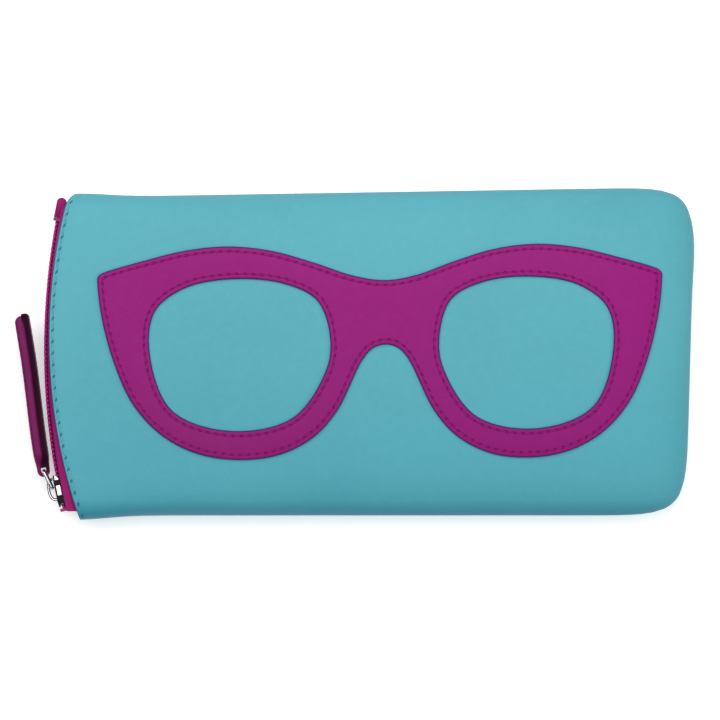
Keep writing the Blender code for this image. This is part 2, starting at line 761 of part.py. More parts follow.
def pull_side_loops():
    """Side view of the pull (along, outwards): the eye, the two straight sides, the tip."""
    half = PULL_THICKNESS / 2
    eye = [math.pi / 2 + math.pi * i / EYE_STEPS for i in range(EYE_STEPS + 1)]
    loop = [(EYE_RADIUS * math.cos(t), EYE_RADIUS * math.sin(t)) for t in eye]
    loop += [(PULL_SWELL, -half), (PULL_LENGTH - PULL_TIP[0], -half),
             (PULL_LENGTH, -half + PULL_TIP[0]), (PULL_LENGTH, half - PULL_TIP[1]),
             (PULL_LENGTH - PULL_TIP[1], half), (PULL_SWELL, half)]
    turns = [math.tau * i / HOLE_STEPS for i in range(HOLE_STEPS)]
    hole = [(EYE_HOLE * math.cos(t), EYE_HOLE * math.sin(t)) for t in turns]
    return [loop, hole]


def make_pull(collection, cutters, ring, ring_at):
    place = ring_at @ Matrix.Translation((0, RING_LENGTH, 0))
    pose = Matrix.Translation(place.translation) @ Matrix.Rotation(PULL_LEAN, 4, "Z")
    quarter = Matrix.Rotation(math.pi / 2, 4, "Z")
    pull = curve_outline("leather_pull", pull_side_loops(), PULL_HALF_WIDTH, pull_leather(),
                         collection, quarter)
    neck, wide = PULL_NECK_HALF_WIDTH, PULL_HALF_WIDTH
    end, corner = PULL_LENGTH, PULL_WIDE_CORNER
    cut = PULL_CORNER_CUT * corner
    half_face = [(-2 * EYE_RADIUS, neck), (PULL_NECK, neck), (PULL_SWELL, wide),
                 (end - corner, wide), (end - cut, wide - cut), (end, wide - corner)]
    face = half_face + [(a, -z) for a, z in half_face[::-1]]
    sideways = Matrix(((0, 0, 1, 0), (1, 0, 0, 0), (0, 1, 0, 0), (0, 0, 0, 1)))
    cutter = curve_outline("pull_face_cutter", [face], PULL_THICKNESS, None, cutters, sideways)
    cutter.matrix_world = pose
    combine(pull, cutter, "INTERSECT")
    hang(pull, ring, pose)
    edge = PULL_HALF_WIDTH - PULL_STITCH_INSET
    start = PULL_SWELL + PULL_STITCH_INSET
    stop = PULL_LENGTH - PULL_STITCH_END
    for name, side in (("outer_pull_stitching", -1), ("inner_pull_stitching", 1)):
        face = side * (PULL_THICKNESS / 2 + PULL_STITCH_GAP + THREAD_RADIUS)
        corners = ((start, edge), (stop, edge), (stop, -edge), (start, -edge))
        line = thread(name, [(face, y, z) for y, z in corners], THREAD_RADIUS, False,
                      fuchsia_thread(), collection)
        hang(line, ring, pose)


def build():
    clear_scene()
    parts = new_collection("multi_glasses_organizer")
    cutters = new_collection("cutters")
    make_panels(parts)
    make_mouth_stitching(parts)
    make_seam_thread(parts)
    make_applique(parts)
    make_tapes(parts)
    make_coils(parts)
    make_end_tab(parts)
    make_stops(parts)
    pivot = bpy.data.objects.new("zip_pivot", None)
    parts.objects.link(pivot)
    pivot.location = (*CHAIN_CENTRE, MID_Z)
    bpy.context.view_layer.update()
    slider_at = make_slider(parts, cutters, pivot)
    ring, ring_at = make_ring(parts, bpy.data.objects["slider_body"], slider_at)
    make_pull(parts, cutters, ring, ring_at)


build()
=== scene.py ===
"""Looks of the soft leather eyeglass case: sewn leather, woven zip, chrome slider and pull.

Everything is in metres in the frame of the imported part. The shape functions repeat those of the
part, so that each new piece lies where its CAD solid is.
"""
import math
from bisect import bisect_left

import bmesh
import bpy
from mathutils import Matrix, Vector, noise
from mathutils.geometry import delaunay_2d_cdt, interpolate_bezier
from mathutils.kdtree import KDTree


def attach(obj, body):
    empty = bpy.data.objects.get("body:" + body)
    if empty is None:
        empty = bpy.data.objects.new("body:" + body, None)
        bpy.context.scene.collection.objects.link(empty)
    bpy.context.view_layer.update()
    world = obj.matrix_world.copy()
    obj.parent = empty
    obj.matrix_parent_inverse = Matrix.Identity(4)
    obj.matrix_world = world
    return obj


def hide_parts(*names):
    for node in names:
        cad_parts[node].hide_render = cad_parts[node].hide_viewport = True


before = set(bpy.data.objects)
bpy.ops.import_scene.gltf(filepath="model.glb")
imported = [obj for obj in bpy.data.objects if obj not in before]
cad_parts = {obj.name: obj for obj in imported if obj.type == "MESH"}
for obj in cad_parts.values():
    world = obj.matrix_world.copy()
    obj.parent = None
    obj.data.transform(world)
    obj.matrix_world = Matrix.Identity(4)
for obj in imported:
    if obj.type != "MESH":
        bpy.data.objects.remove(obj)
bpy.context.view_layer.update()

MM = 0.001
SIDES = (("front", 1), ("back", -1))
UP = Vector((0, 0, 1))

# Outline and fullness of the case
TOP_AT_MIDDLE = 46.3 * MM
TOP_SLOPE = 0.0165
BOTTOM_AT_MIDDLE = -46.5 * MM
CLOSED_END = 91.75 * MM
CLOSED_SLOPE = 0.027
SHOULDER = (30 * MM, 9 * MM, 0.4 * MM)
CORNER_POWER = 8.3
END_ZONE = 46 * MM
MOUTH_CENTRE = (64.46 * MM, 4.22 * MM)
MOUTH_RADIUS = 156.44 * MM
MOUTH_FLARE = (1.2 * MM, 1.0 * MM)
FLARE_REACH = 12 * MM
MOUTH_CORNER = -84 * MM
TOP_WRAP = 2.75 * MM
TOP_WRAP_START = 41.5 * MM
TOP_WRAP_REACH = 4.4 * MM
TOP_WRAP_END = 0.98                # share of a quarter turn
MID_Z = 11 * MM
MOUTH_DEPTH = 6.75 * MM
BODY_DEPTH = 11 * MM
BACK_BULGE = 0.5 * MM
SWELL_START = -90 * MM
SWELL_LENGTH = 75 * MM
MOUTH_FULLNESS = 16.0
BODY_FULLNESS = 5.0

# Layers
SEAM_GAP = 0.2 * MM
LEATHER = 1.1 * MM
FOAM = 1.2 * MM
LINING = 0.5 * MM
FOAM_INSET = 1.75 * MM
LINING_INSET = 3.4 * MM
FOAM_START = 10 * MM
LINING_START = 2.2 * MM
SEAM_CHANNEL = 0.75 * MM
SIDE_RUN = 137.4 * MM              # from the mouth to the end zone
GATHERS = ((-33 * MM, 35 * MM), 77 * MM, 10.5 * MM)     # centres in y and x, and radius
SEWN_DEPTH = 0.13                  # mm, and the next two: shape of the leather at the mouth
SEWN_SWELL = 0.12
MOUTH_ROLL = 0.42
SIDE_ROLL = 0.45 * MM              # how far the leather rolls in at the side seam

# Zip
CHAIN_CENTRE = (107.4 * MM, 1.5 * MM)
CHAIN_RADIUS = 200 * MM
CHAIN_ENDS = (-45.2 * MM, 42.6 * MM)
SLIDER_Y = -39.2 * MM
COIL_IN = -0.15 * MM
COIL_OUT = 0.95 * MM
COIL_TOP = 2.1 * MM
COIL_PITCH = 1.27 * MM
COIL_WIRE = 0.4 * MM
COIL_HEAD = -0.42 * MM             # how far its heads hook past the middle
COIL_STEPS = 18                    # points in each turn
CORD_Z = 0.75 * MM
CORD_RADIUS = 0.45 * MM
TAPE = 0.5 * MM
TAPE_OUT = -0.2 * MM
TAPE_EDGE = 0.45 * MM
TAPE_FLAT = 3.75 * MM
TAPE_BEND = 3.4 * MM
TAPE_TUCK = 8.5 * MM
TAPE_CLEARANCE = 0.5 * MM
TAB_Y = 39.4 * MM
TAB_LENGTH = 3.9 * MM
TAB_START = -0.6 * MM
TAB_OUT = 1.15 * MM
TAB_IN = -0.75 * MM
TAB_THICKNESS = 0.4 * MM
TAB_HALF_WIDTH = 2.6 * MM

# Slider, ring and pull
SLIDER_LENGTH = 9.4 * MM
SLIDER_WIDTH = 6.6 * MM
PLATE_IN = 1.25 * MM
PLATE_OUT = 1.8 * MM
PLATE_SOFTNESS = 0.07
FLANGE_IN = 2.5 * MM
FLANGE_GAPS = ((-3.7 * MM, -1.2 * MM), (1.6 * MM, 3.3 * MM))
GAP_SHADE_WALL = (2.25 * MM, 2.55 * MM)    # dark walls of painted shade that close the gaps, by their z
POST_ENDS = (-4 * MM, -2.2 * MM)   # the post between the two plates
POST_HALF_WIDTH = 0.17 * MM
BRIDGE_SPAN = (-2.7 * MM, 4.1 * MM)
BRIDGE_RISE = 2.2 * MM
BRIDGE_THICKNESS = 0.75 * MM
BRIDGE_WIDTH = 2.2 * MM
BRIDGE_CORNER = 0.29 * MM
BRIDGE_STEPS = 24
CORNER_SIDES = 5                   # faces round each long edge of a strip
BRIDGE_SINK = 0.3 * MM             # how deep its feet stand in the plate
RING_AXIS = (1.2 * MM, 2.58 * MM)
RING_LEAN = math.radians(14.4)
RING_LENGTH = 5.5 * MM
RING_HALF_WIDTH = 3.6 * MM
RING_CORNER = 0.9 * MM
WIRE_RADIUS = 0.5 * MM
PULL_LEAN = math.radians(9.3)
PULL_LENGTH = 45.5 * MM
PULL_THICKNESS = 4.2 * MM
PULL_NECK = 1.4 * MM
PULL_SWELL = 5 * MM
PULL_HALF_WIDTH = 4.25 * MM
PULL_NECK_HALF_WIDTH = 2.3 * MM
PULL_STITCH_INSET = 1.2 * MM
EYE_RADIUS = 1.75 * MM
EYE_HOLE = 0.8 * MM
EYE_CORNER = 0.34 * MM
PULL_OUTER = 2.7 * MM              # the turned edge of the outer layer
PULL_INNER = 1.1 * MM
PULL_SLANT = 0.22
PULL_BEND = 0.9 * MM
PULL_BEND_RUN = 30 * MM
PULL_TURN = 0.6 * MM

# Applique, in mm: right half of the glasses, from the top of the bridge round to the nose
GLASSES_CENTRE = 4.4 * MM
GLASSES_TURN = math.radians(0.5)
GLASSES_STRETCH = {-1: 1.02, 1: 0.98}
GLASSES_OUTLINE = (
    (0, 20.9), (9, 22.3), (20, 26.1), (32, 29.6), (44, 30.9), (56, 29.8), (68, 26.9),
    (77.6, 24.2), (79.5, 23.45), (80.5, 22.5), (80.6, 20.9), (79.6, 11.5), (76.2, -2.0),
    (70.8, -14.2), (62.5, -23.2),
    (52.5, -28.3), (41, -30.0), (30, -28.6), (20.6, -23.8), (13.8, -16.2), (6.4, -1.4),
    (3.4, 1.7), (0, 2.6))
LENS_OUTLINE = (
    (15.5, 4.0), (19.0, 15.2), (28.5, 20.2), (43, 21.6), (56, 19.2), (64.4, 12.9),
    (66.3, 2.0), (60.3, -15.5), (44, -21.7), (26.3, -18.2), (17.0, -5.2))

# Sewing
MOUTH_PITCH = 3.32 * MM
MOUTH_INSET = 1.1 * MM
MOUTH_STITCHES = 25
APPLIQUE_PITCH = 2.42 * MM
APPLIQUE_INSET = 1.4 * MM
PULL_PITCH = 2.4 * MM
THREAD = 0.19 * MM
PULL_THREAD = 0.15 * MM
PULL_THREAD_SINK = 0.3             # mm below the leather's face
APPLIQUE_THREAD_SINK = 0.13        # mm below the bottom of the groove
SEAM_THREAD = 0.3 * MM
SEAM_THREAD_IN = 1.9 * MM


# Camera
CAMERA_DISTANCE = 2.5
PICTURE_WIDTH = 205.7 * MM         # what the picture shows at the height PICTURE_PLANE
PICTURE_PLANE = 18 * MM
PICTURE_CENTRE = (-3.0 * MM, -1.86 * MM)


# ---------------------------------------------------------------- shape of the case

def smooth(t):
    t = min(max(t, 0.0), 1.0)
    return t * t * (3.0 - 2.0 * t)


def power(value, exponent):
    """The power of the value's size, with its sign."""
    return math.copysign(abs(value) ** exponent, value)


def mouth_x(y):
    arc = MOUTH_CENTRE[0] - math.sqrt(MOUTH_RADIUS ** 2 - (y - MOUTH_CENTRE[1]) ** 2)
    turn = min(max((y - TOP_WRAP_START) / TOP_WRAP_REACH, 0.0), TOP_WRAP_END)
    return arc + TOP_WRAP * (1 - math.sqrt(1 - turn * turn))


def closed_x(y, inset=0.0):
    shoulder = SHOULDER[2] * math.exp(-((y - SHOULDER[0]) / SHOULDER[1]) ** 2)
    return CLOSED_END + CLOSED_SLOPE * y + shoulder - inset


def side_limits(x, inset=0.0):
    flare = math.exp(-((x - MOUTH_CORNER) / FLARE_REACH) ** 2)
    bottom = BOTTOM_AT_MIDDLE - MOUTH_FLARE[0] * flare
    top = TOP_AT_MIDDLE + TOP_SLOPE * x + MOUTH_FLARE[1] * flare
    return bottom + inset, top - inset


def section(x, inset=0.0):
    swell = smooth((x - SWELL_START) / SWELL_LENGTH)
    depth = MOUTH_DEPTH + (BODY_DEPTH - MOUTH_DEPTH) * swell
    return depth - inset, MOUTH_FULLNESS + (BODY_FULLNESS - MOUTH_FULLNESS) * swell


def half_thickness(x, edgeness, inset=0.0):
    depth, fullness = section(x, inset)
    return depth * math.sqrt(max(0.0, 1.0 - min(edgeness, 1.0) ** fullness))


def face_z(half, face, inset=0.0):
    if face > 0:
        return MID_Z + half
    return max(inset, MID_Z - half * (BODY_DEPTH + BACK_BULGE) / BODY_DEPTH)


def edgeness_at(x, y):
    bottom, top = side_limits(x)
    across = abs(2 * y - top - bottom) / (top - bottom)
    along = max(0.0, 1 - (closed_x(y) - x) / END_ZONE)
    return (across ** CORNER_POWER + along ** CORNER_POWER) ** (1 / CORNER_POWER)


def case_point(column, edgeness, face, start, seam_gap, inset=0.0):
    """column runs round the case from the mouth (0), the corners (1, 3) to the mouth (4)."""
    turn = min(max((2 - column) * math.pi / 2, -math.pi / 2), math.pi / 2)
    across = power(math.sin(turn), 2 / CORNER_POWER)
    along = max(math.cos(turn), 0.0) ** (2 / CORNER_POWER)
    towards_mouth = max(1 - column, column - 3, 0.0)
    y = 0.0
    for _ in range(6):
        end_zone = closed_x(y, inset) - END_ZONE
        if towards_mouth > 0:
            x = end_zone + (mouth_x(y) + start - end_zone) * towards_mouth
        else:
            x = end_zone + END_ZONE * along * edgeness
        depth, fullness = section(x, inset)
        edgeness = min(edgeness, (1 - (seam_gap / depth) ** 2) ** (1 / fullness))
        bottom, top = side_limits(x, inset)
        y = (top + bottom) / 2 + across * edgeness * (top - bottom) / 2
    return Vector((x, y, face_z(half_thickness(x, edgeness, inset), face, inset)))


def softness(x, y, face):
    """Slight hollows and swells of the leather, and gathers in the corners of the closed end."""
    spot = Vector((x, y, face * 0.05))
    height = 0.16 * noise.noise(spot * 26) + 0.05 * noise.noise(spot * 75)
    rows, column, radius = GATHERS
    for row in rows:
        out = Vector((x - column, y - row))
        if out.length > 1 * MM:
            angle = math.atan2(abs(out.y), out.x)
            reach = math.exp(-((out.length - radius) / (3.2 * MM)) ** 2)
            outer = out.y * math.copysign(1, row)
            facing = smooth(out.x / (4 * MM)) * smooth(outer / (4 * MM))
            height += 0.16 * math.cos(angle * 17 + 3 * noise.noise(spot * 60)) * reach * facing
    return height * MM


def leather_z(x, y):
    """Height of the front leather's outside, away from the mouth."""
    edgeness = edgeness_at(x, y)
    fade = 1 - min(edgeness, 1.0) ** 8
    return face_z(half_thickness(x, edgeness), 1) + softness(x, y, 1) * fade


# ---------------------------------------------------------------- mesh tools

def placed(name, data):
    item = bpy.data.objects.new(name, data)
    bpy.context.scene.collection.objects.link(item)
    return item


def piece(name, points, faces, looks, body, replaced=(), uv=None, wrap=0.0, weld=False):
    """A mesh piece. uv gives (along, across) per point, and along repeats after wrap."""
    mesh = bpy.data.meshes.new(name)
    mesh.from_pydata([tuple(p) for p in points], [], faces)
    if uv is not None:
        layer = mesh.uv_layers.new(name="Sewing")
        for polygon in mesh.polygons:
            along = [uv[mesh.loops[i].vertex_index][0] for i in polygon.loop_indices]
            high = max(along)
            for i, a in zip(polygon.loop_indices, along):
                if wrap and high - a > wrap / 2:
                    a += round(high - a)
                layer.data[i].uv = (a, uv[mesh.loops[i].vertex_index][1])
    if weld:
        bm = bmesh.new()
        bm.from_mesh(mesh)
        bmesh.ops.remove_doubles(bm, verts=bm.verts, dist=0.002 * MM)
        bmesh.ops.dissolve_degenerate(bm, edges=bm.edges, dist=0.001 * MM)
        bm.to_mesh(mesh)
        bm.free()
    for look in looks:
        mesh.materials.append(look)
    mesh.shade_smooth()
    item = placed(name, mesh)
    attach(item, body)
    if replaced:
        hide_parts(*replaced)
    return item


def mark(faces, chosen):
    """Gives the faces for which chosen is true the piece's second look."""
    for face in faces:
        if chosen(face):
            face.material_index = 1


def grid_faces(wide, high, flip=False, around=False, first=0):
    """Quads of a grid with wide columns of high points; around joins each column's ends."""
    faces = []
    for c in range(wide - 1):
        for r in range(high if around else high - 1):
            s = (r + 1) % high
            quad = [first + c * high + r, first + (c + 1) * high + r,
                    first + (c + 1) * high + s, first + c * high + s]
            faces.append(quad[::-1] if flip else quad)
    return faces


def thicken(item, thickness, rim=0):
    wall = item.modifiers.new("Wall", "SOLIDIFY")
    wall.thickness = thickness
    wall.offset = -1
    wall.material_offset_rim = rim


def tube(points, radius, sides, first=0, closed=False, squash=None):
    """Points and faces of a tube. radius is a number, or one per point."""
    count = len(points)
    rings, faces = [], []
    normal = None
    for i, point in enumerate(points):
        ahead = points[(i + 1) % count] if closed else points[min(i + 1, count - 1)]
        behind = points[i - 1] if closed or i else points[0]
        along = (ahead - behind).normalized()
        if normal is None:
            normal = along.orthogonal().normalized()
            if squash:
                normal = (squash - along * squash.dot(along)).normalized()
        normal = (normal - along * normal.dot(along)).normalized()
        side = along.cross(normal)
        size = radius[i] if isinstance(radius, list) else radius
        for k in range(sides):
            turn = math.tau * k / sides
            rings.append(point + (normal * math.cos(turn) + side * math.sin(turn)) * size)
    steps = count if closed else count - 1
    for i in range(steps):
        for k in range(sides):
            a, b = first + i * sides, first + (i + 1) % count * sides
            faces.append([a + k, a + (k + 1) % sides, b + (k + 1) % sides, b + k])
    if not closed:
        faces.append([first + k for k in range(sides)][::-1])
        faces.append([first + (count - 1) * sides + k for k in range(sides)])
    return rings, faces


def spline_loop(points, steps):
    """A closed smooth curve (centripetal Catmull-Rom) through the points."""
    count = len(points)
    made = []
    for i in range(count):
        before, start, end, after = [Vector(points[(i + k) % count]) for k in (-1, 0, 1, 2)]
        gaps = [math.sqrt((b - a).length) for a, b in ((before, start), (start, end), (end, after))]
        chord = (end - start) / gaps[1]
        leave = ((start - before) / gaps[0] - (end - before) / (gaps[0] + gaps[1]) + chord)
        arrive = (chord - (after - start) / (gaps[1] + gaps[2]) + (after - end) / gaps[2])
        made += interpolate_bezier(
            start, start + leave * gaps[1] / 3, end - arrive * gaps[1] / 3, end, steps + 1)[:-1]
    return made


def inset_loop(loop, inset):
    """The loop moved sideways by inset, to its left as it runs."""
    count = len(loop)
    made = []
    for i in range(count):
        along = (loop[(i + 1) % count] - loop[i - 1]).normalized()
        made.append(loop[i] + Vector((-along.y, along.x)) * inset)
    return made


class Route:
    """A line that gives its point at a distance along it."""

    def __init__(self, line, closed=False):
        self.line = line
        self.closed = closed
        self.runs = [0.0]
        for a, b in zip(line, line[1:]):
            self.runs.append(self.runs[-1] + (b - a).length)
        self.length = self.runs[-1]
        if closed:
            self.length += (line[0] - line[-1]).length

    def at(self, distance):
        if self.closed:
            distance %= self.length
        i = bisect_left(self.runs, distance, 1) - 1
        step = (self.runs + [self.length])[i + 1] - self.runs[i]
        share = min((distance - self.runs[i]) / max(step, 1e-12), 1.0)
        return self.line[i].lerp(self.line[(i + 1) % len(self.line)], share)


def stitches(name, place, count, pitch, body, look, replaced, thread=THREAD, sink=0.0):
    """One thread loop between each two holes. place(along) gives a point and its normal."""
    profile = ((0.05, -0.34), (0.13, -0.1), (0.22, 0.1), (0.36, 0.17), (0.5, 0.19),
               (0.64, 0.17), (0.78, 0.1), (0.87, -0.1), (0.95, -0.34))
    points, faces = [], []
    for i in range(count):
        line, up = [], None
        for share, lift in profile:
            spot, normal = place((i + share) * pitch)
            up = up or normal
            line.append(spot + normal * (lift - sink) * MM)
        rings, quads = tube(line, thread, 8, first=len(points), squash=up)
        points += rings
        faces += quads
    return piece(name, points, faces, [look], body, replaced)


# ---------------------------------------------------------------- materials

class Look:
    """A material under construction."""

    def __init__(self, name, color, roughness, **values):
        self.made = bpy.data.materials.new(name)
        self.made.use_nodes = True
        self.tree = self.made.node_tree
        self.shader = self.tree.nodes["Principled BSDF"]
        self.set(self.shader, "Base Color", color)
        self.set(self.shader, "Roughness", roughness)
        for key, value in values.items():
            self.set(self.shader, key.replace("_", " "), value)

    def set(self, node, key, value):
        """Links the value to the node's input, or stores it there."""
        socket = node.inputs[key]
        if isinstance(value, bpy.types.NodeSocket):
            self.tree.links.new(value, socket)
        else:
            socket.default_value = (*value, 1) if socket.type == "RGBA" else value

    def add(self, kind, output=0, settings=(), **inputs):
        node = self.tree.nodes.new(kind)
        for key, value in dict(settings).items():
            setattr(node, key, value)
        for key, value in inputs.items():
            self.set(node, int(key[1:]) if key[1:].isdigit() else key, value)
        return node.outputs[output]

    def math(self, operation, a, b=0.0, c=0.0):
        return self.add("ShaderNodeMath", 0, {"operation": operation}, i0=a, i1=b, i2=c)

    def scaled(self, value, factor, offset=0.0):
        return self.math("MULTIPLY_ADD", value, factor, offset)

    def place(self):
        return self.add("ShaderNodeTexCoord", 3)

    def sewing(self):
        return self.split(self.add("ShaderNodeUVMap", 0, {"uv_map": "Sewing"}))

    def split(self, vector):
        return self.add("ShaderNodeSeparateXYZ", i0=vector).node.outputs

    def noise(self, scale, detail=3.0, roughness=0.55):
        return self.add("ShaderNodeTexNoise", Vector=self.place(), Scale=scale, Detail=detail,
                        Roughness=roughness)

    def between(self, value, low, high, to_low=0.0, to_high=1.0):
        return self.add("ShaderNodeMapRange", settings={"interpolation_type": "SMOOTHSTEP"},
                        i0=value, i1=low, i2=high, i3=to_low, i4=to_high)

    def mix(self, share, a, b):
        return self.add("ShaderNodeMix", 2, {"data_type": "RGBA"}, i0=share, i6=a, i7=b)

    def bump(self, height, strength, distance, **under):
        return self.add("ShaderNodeBump", Strength=strength, Distance=distance, Height=height, **under)

    def finish(self, color, normal, roughness=None):
        self.set(self.shader, "Base Color", color)
        self.set(self.shader, "Normal", normal)
        if roughness is not None:
            self.set(self.shader, "Roughness", roughness)
        return self.made


def leather_look(name, color, dark, light, hole_shade, roughness, pitch, inset, highlight_and_wear,
                 slant=-0.3, painted_shade_colour=None, edge_paint_and_shade=None):
    """Fine-grained leather with a row of needle holes, darkened with painted shade. The colours are
    RGB.

    light is also the colour of a band along its edge, by the given share: a painted highlight of the
    rounded edge that also stands for wear. The colour given for painted shade is what the leather goes
    towards at the case's side seam and towards the bottom; the edge colour is that of its painted cut
    edge and also stands for painted shade along the edge.
    """
    look = Look(name, color, roughness, Specular_IOR_Level=0.12, Sheen_Weight=0.01,
                Sheen_Roughness=0.5)
    broad = look.noise(21, 3)
    mottle = look.noise(420, 4, 0.6)
    base = look.mix(look.between(broad, 0.3, 0.7), dark, color)
    base = look.mix(look.between(mottle, 0.35, 0.8, 0.0, 0.22), base, light)
    cells = look.add("ShaderNodeTexVoronoi", 0, {"feature": "DISTANCE_TO_EDGE"},
                     Vector=look.place(), Scale=1250)
    pebbles = look.between(cells, 0.0, 0.32)
    base = look.mix(look.between(cells, 0.0, 0.12, 0.16, 0.0), base, dark)
    height = look.scaled(look.noise(3400, 2, 0.5), 0.25, look.scaled(pebbles, 0.55))
    height = look.scaled(look.noise(330, 5, 0.62), 0.9, height)
    along, across, _ = look.sewing()
    depth = look.scaled(across, 1 / MM)
    shift = look.scaled(look.math("FRACT", look.math("ADD", along, 0.5)), pitch / MM, -pitch / MM / 2)
    lean = look.scaled(shift, slant, look.math("SUBTRACT", depth, inset / MM))
    width, reach = look.math("DIVIDE", shift, 0.56), look.math("DIVIDE", lean, 0.27)
    far = look.math("SQRT", look.scaled(width, width, look.math("MULTIPLY", reach, reach)))
    holes = look.between(far, 0.7, 1.35, 1.0, 0.0)
    # painted highlight of the rounded edge, which also stands for wear: lighter within half a
    # millimetre of the edge
    base = look.mix(look.between(depth, 0.05, 0.5, highlight_and_wear, 0.0), base, light)
    # painted shade: darker towards the side seam, towards the bottom, and most at the bottom edge
    if painted_shade_colour:
        spot = look.split(look.place())
        rim = look.math("ABSOLUTE", look.math("SUBTRACT", spot[2], MID_Z))
        for place, start, stop, most in ((rim, 1, 6, 0.28), (spot[1], -46, 30, 0.22),
                                         (spot[1], -46.5, -41, 0.5)):
            share = look.between(place, start * MM, stop * MM, most, 0.0)
            base = look.mix(share, base, painted_shade_colour)
    # painted cut edge: a dark band that also stands for painted shade along the edge
    if edge_paint_and_shade:
        base = look.mix(look.between(depth, 0.16, 0.34, 1.0, 0.0), base, edge_paint_and_shade)
    # painted shade in the needle holes
    base = look.mix(holes, base, hole_shade)
    normal = look.bump(height, 0.32, 0.00009)
    normal = look.bump(look.math("SUBTRACT", 1.0, holes), 0.8, 0.0004, Normal=normal)
    rough = look.between(broad, 0.25, 0.75, roughness - 0.05, roughness + 0.06)
    return look.finish(base, normal, rough)


def plain_look(look, pattern, color, dark, span, bump):
    """One pattern that mixes the two colours and gives the relief."""
    base = look.mix(look.between(pattern, *span), dark, color)
    return look.finish(base, look.bump(pattern, *bump))


def edge_look(name, color, dark):
    """Cut and painted leather edge. The same finish also serves as painted shade: on the chrome, and
    on the pull along with its painted edge.
    """
    look = Look(name, color, 0.65, Specular_IOR_Level=0.1)
    fibres = look.noise(1500, 4, 0.7)
    return plain_look(look, fibres, color, dark, (0.3, 0.7), (0.5, 0.0001))


def thread_look(name, color, dark):
    """Twisted polyester thread."""
    look = Look(name, color, 0.6, Specular_IOR_Level=0.1, Sheen_Weight=0.01, Sheen_Roughness=0.4)
    twist = look.add("ShaderNodeTexWave", 0, {"bands_direction": "DIAGONAL"},
                     Vector=look.place(), Scale=950.0, Distortion=1.2, Detail=1.0)
    return plain_look(look, twist, color, dark, (0.05, 0.6), (0.7, 0.00008))


def woven_look(name, color, dark, light, pitch):
    """Woven tape: warp ribs along the tape crossed by weft, staggered in a herringbone."""
    look = Look(name, color, 0.75, Specular_IOR_Level=0.25, Sheen_Weight=0.06, Sheen_Roughness=0.45)
    along, across = (look.math("DIVIDE", place, pitch) for place in look.sewing()[:2])
    rib = look.math("ABSOLUTE", look.math("SINE", look.scaled(across, math.pi)))
    column = look.math("FRACT", look.scaled(look.math("FLOOR", across), 0.5))
    lean = look.scaled(column, 4.0, -1.0)
    slanted = look.scaled(lean, look.math("FRACT", across), along)
    weft = look.math("ABSOLUTE", look.math("SINE", look.scaled(slanted, math.pi)))
    height = look.math("MULTIPLY", look.math("POWER", rib, 0.6), look.math("POWER", weft, 0.6))
    fuzz = look.noise(2600, 3, 0.6)
    base = look.mix(look.between(height, 0.1, 0.75), dark, color)
    base = look.mix(look.between(fuzz, 0.5, 0.85, 0.0, 0.35), base, light)
    normal = look.bump(look.scaled(fuzz, 0.35, height), 0.7, 0.00012)
    return look.finish(base, normal)


def nylon_look(name, color, dark):
    """Smooth nylon of the coil and the stops."""
    look = Look(name, color, 0.42, Specular_IOR_Level=0.3)
    vary = look.noise(500, 3)
    base = look.mix(look.between(vary, 0.3, 0.7), dark, color)
    return look.finish(base, look.bump(look.noise(3000, 2), 0.15, 0.00004))


def chrome_look():
    bright = (0.54, 0.55, 0.57)
    look = Look("chrome", bright, 0.12, Metallic=1.0)
    wear = look.noise(260, 4, 0.6)
    drawn = look.add("ShaderNodeMapping", Vector=look.place(), Scale=(300.0, 3200.0, 900.0))
    scratches = look.add("ShaderNodeTexNoise", Vector=drawn, Scale=1.0, Detail=3.0)
    base = look.mix(look.between(wear, 0.35, 0.75), bright, (0.42, 0.42, 0.44))
    rough = look.between(scratches, 0.4, 0.75, 0.08, 0.2)
    return look.finish(base, look.bump(scratches, 0.12, 0.00003), rough)


def foam_look():
    look = Look("padding_foam", (0.62, 0.6, 0.58), 0.95)
    pores = look.add("ShaderNodeTexVoronoi", Vector=look.place(), Scale=1600.0)
    return plain_look(look, pores, (0.68, 0.66, 0.63), (0.5, 0.48, 0.46), (0.1, 0.6), (0.8, 0.0003))


# The fourth colour of each leather is painted shade in its needle holes. The share after the inset is
# a painted highlight at the edge that also stands for wear. The last two colours are painted shade
# towards the side seam and bottom, and the painted cut edge, which is also painted shade along it.
TURQUOISE = leather_look("turquoise_leather", (0.09, 0.36, 0.42), (0.081, 0.335, 0.395),
                         (0.12, 0.41, 0.47), (0.014, 0.15, 0.2), 0.5, MOUTH_PITCH, MOUTH_INSET,
                         0.6, painted_shade_colour=(0.003, 0.17, 0.27), edge_paint_and_shade=(0.05, 0.06, 0.2))
FUCHSIA = leather_look("fuchsia_leather", (0.256, 0.0038, 0.16), (0.236, 0.0034, 0.146),
                       (0.305, 0.014, 0.193), (0.155, 0.001, 0.075), 0.5, APPLIQUE_PITCH,
                       APPLIQUE_INSET, 0.15, slant=-0.12, painted_shade_colour=(0.03, 0.0, 0.015),
                       edge_paint_and_shade=(0.085, 0.025, 0.19))
PLUM = leather_look("plum_leather", (0.14, 0.004, 0.075), (0.1, 0.003, 0.055),
                    (0.2, 0.014, 0.115), (0.03, 0.001, 0.015), 0.42, PULL_PITCH,
                    PULL_STITCH_INSET, 0.25)
TURQUOISE_EDGE = edge_look("turquoise_leather_edge", (0.03, 0.08, 0.2), (0.015, 0.04, 0.13))
FUCHSIA_EDGE = edge_look("fuchsia_leather_edge", (0.065, 0.018, 0.15), (0.04, 0.012, 0.1))
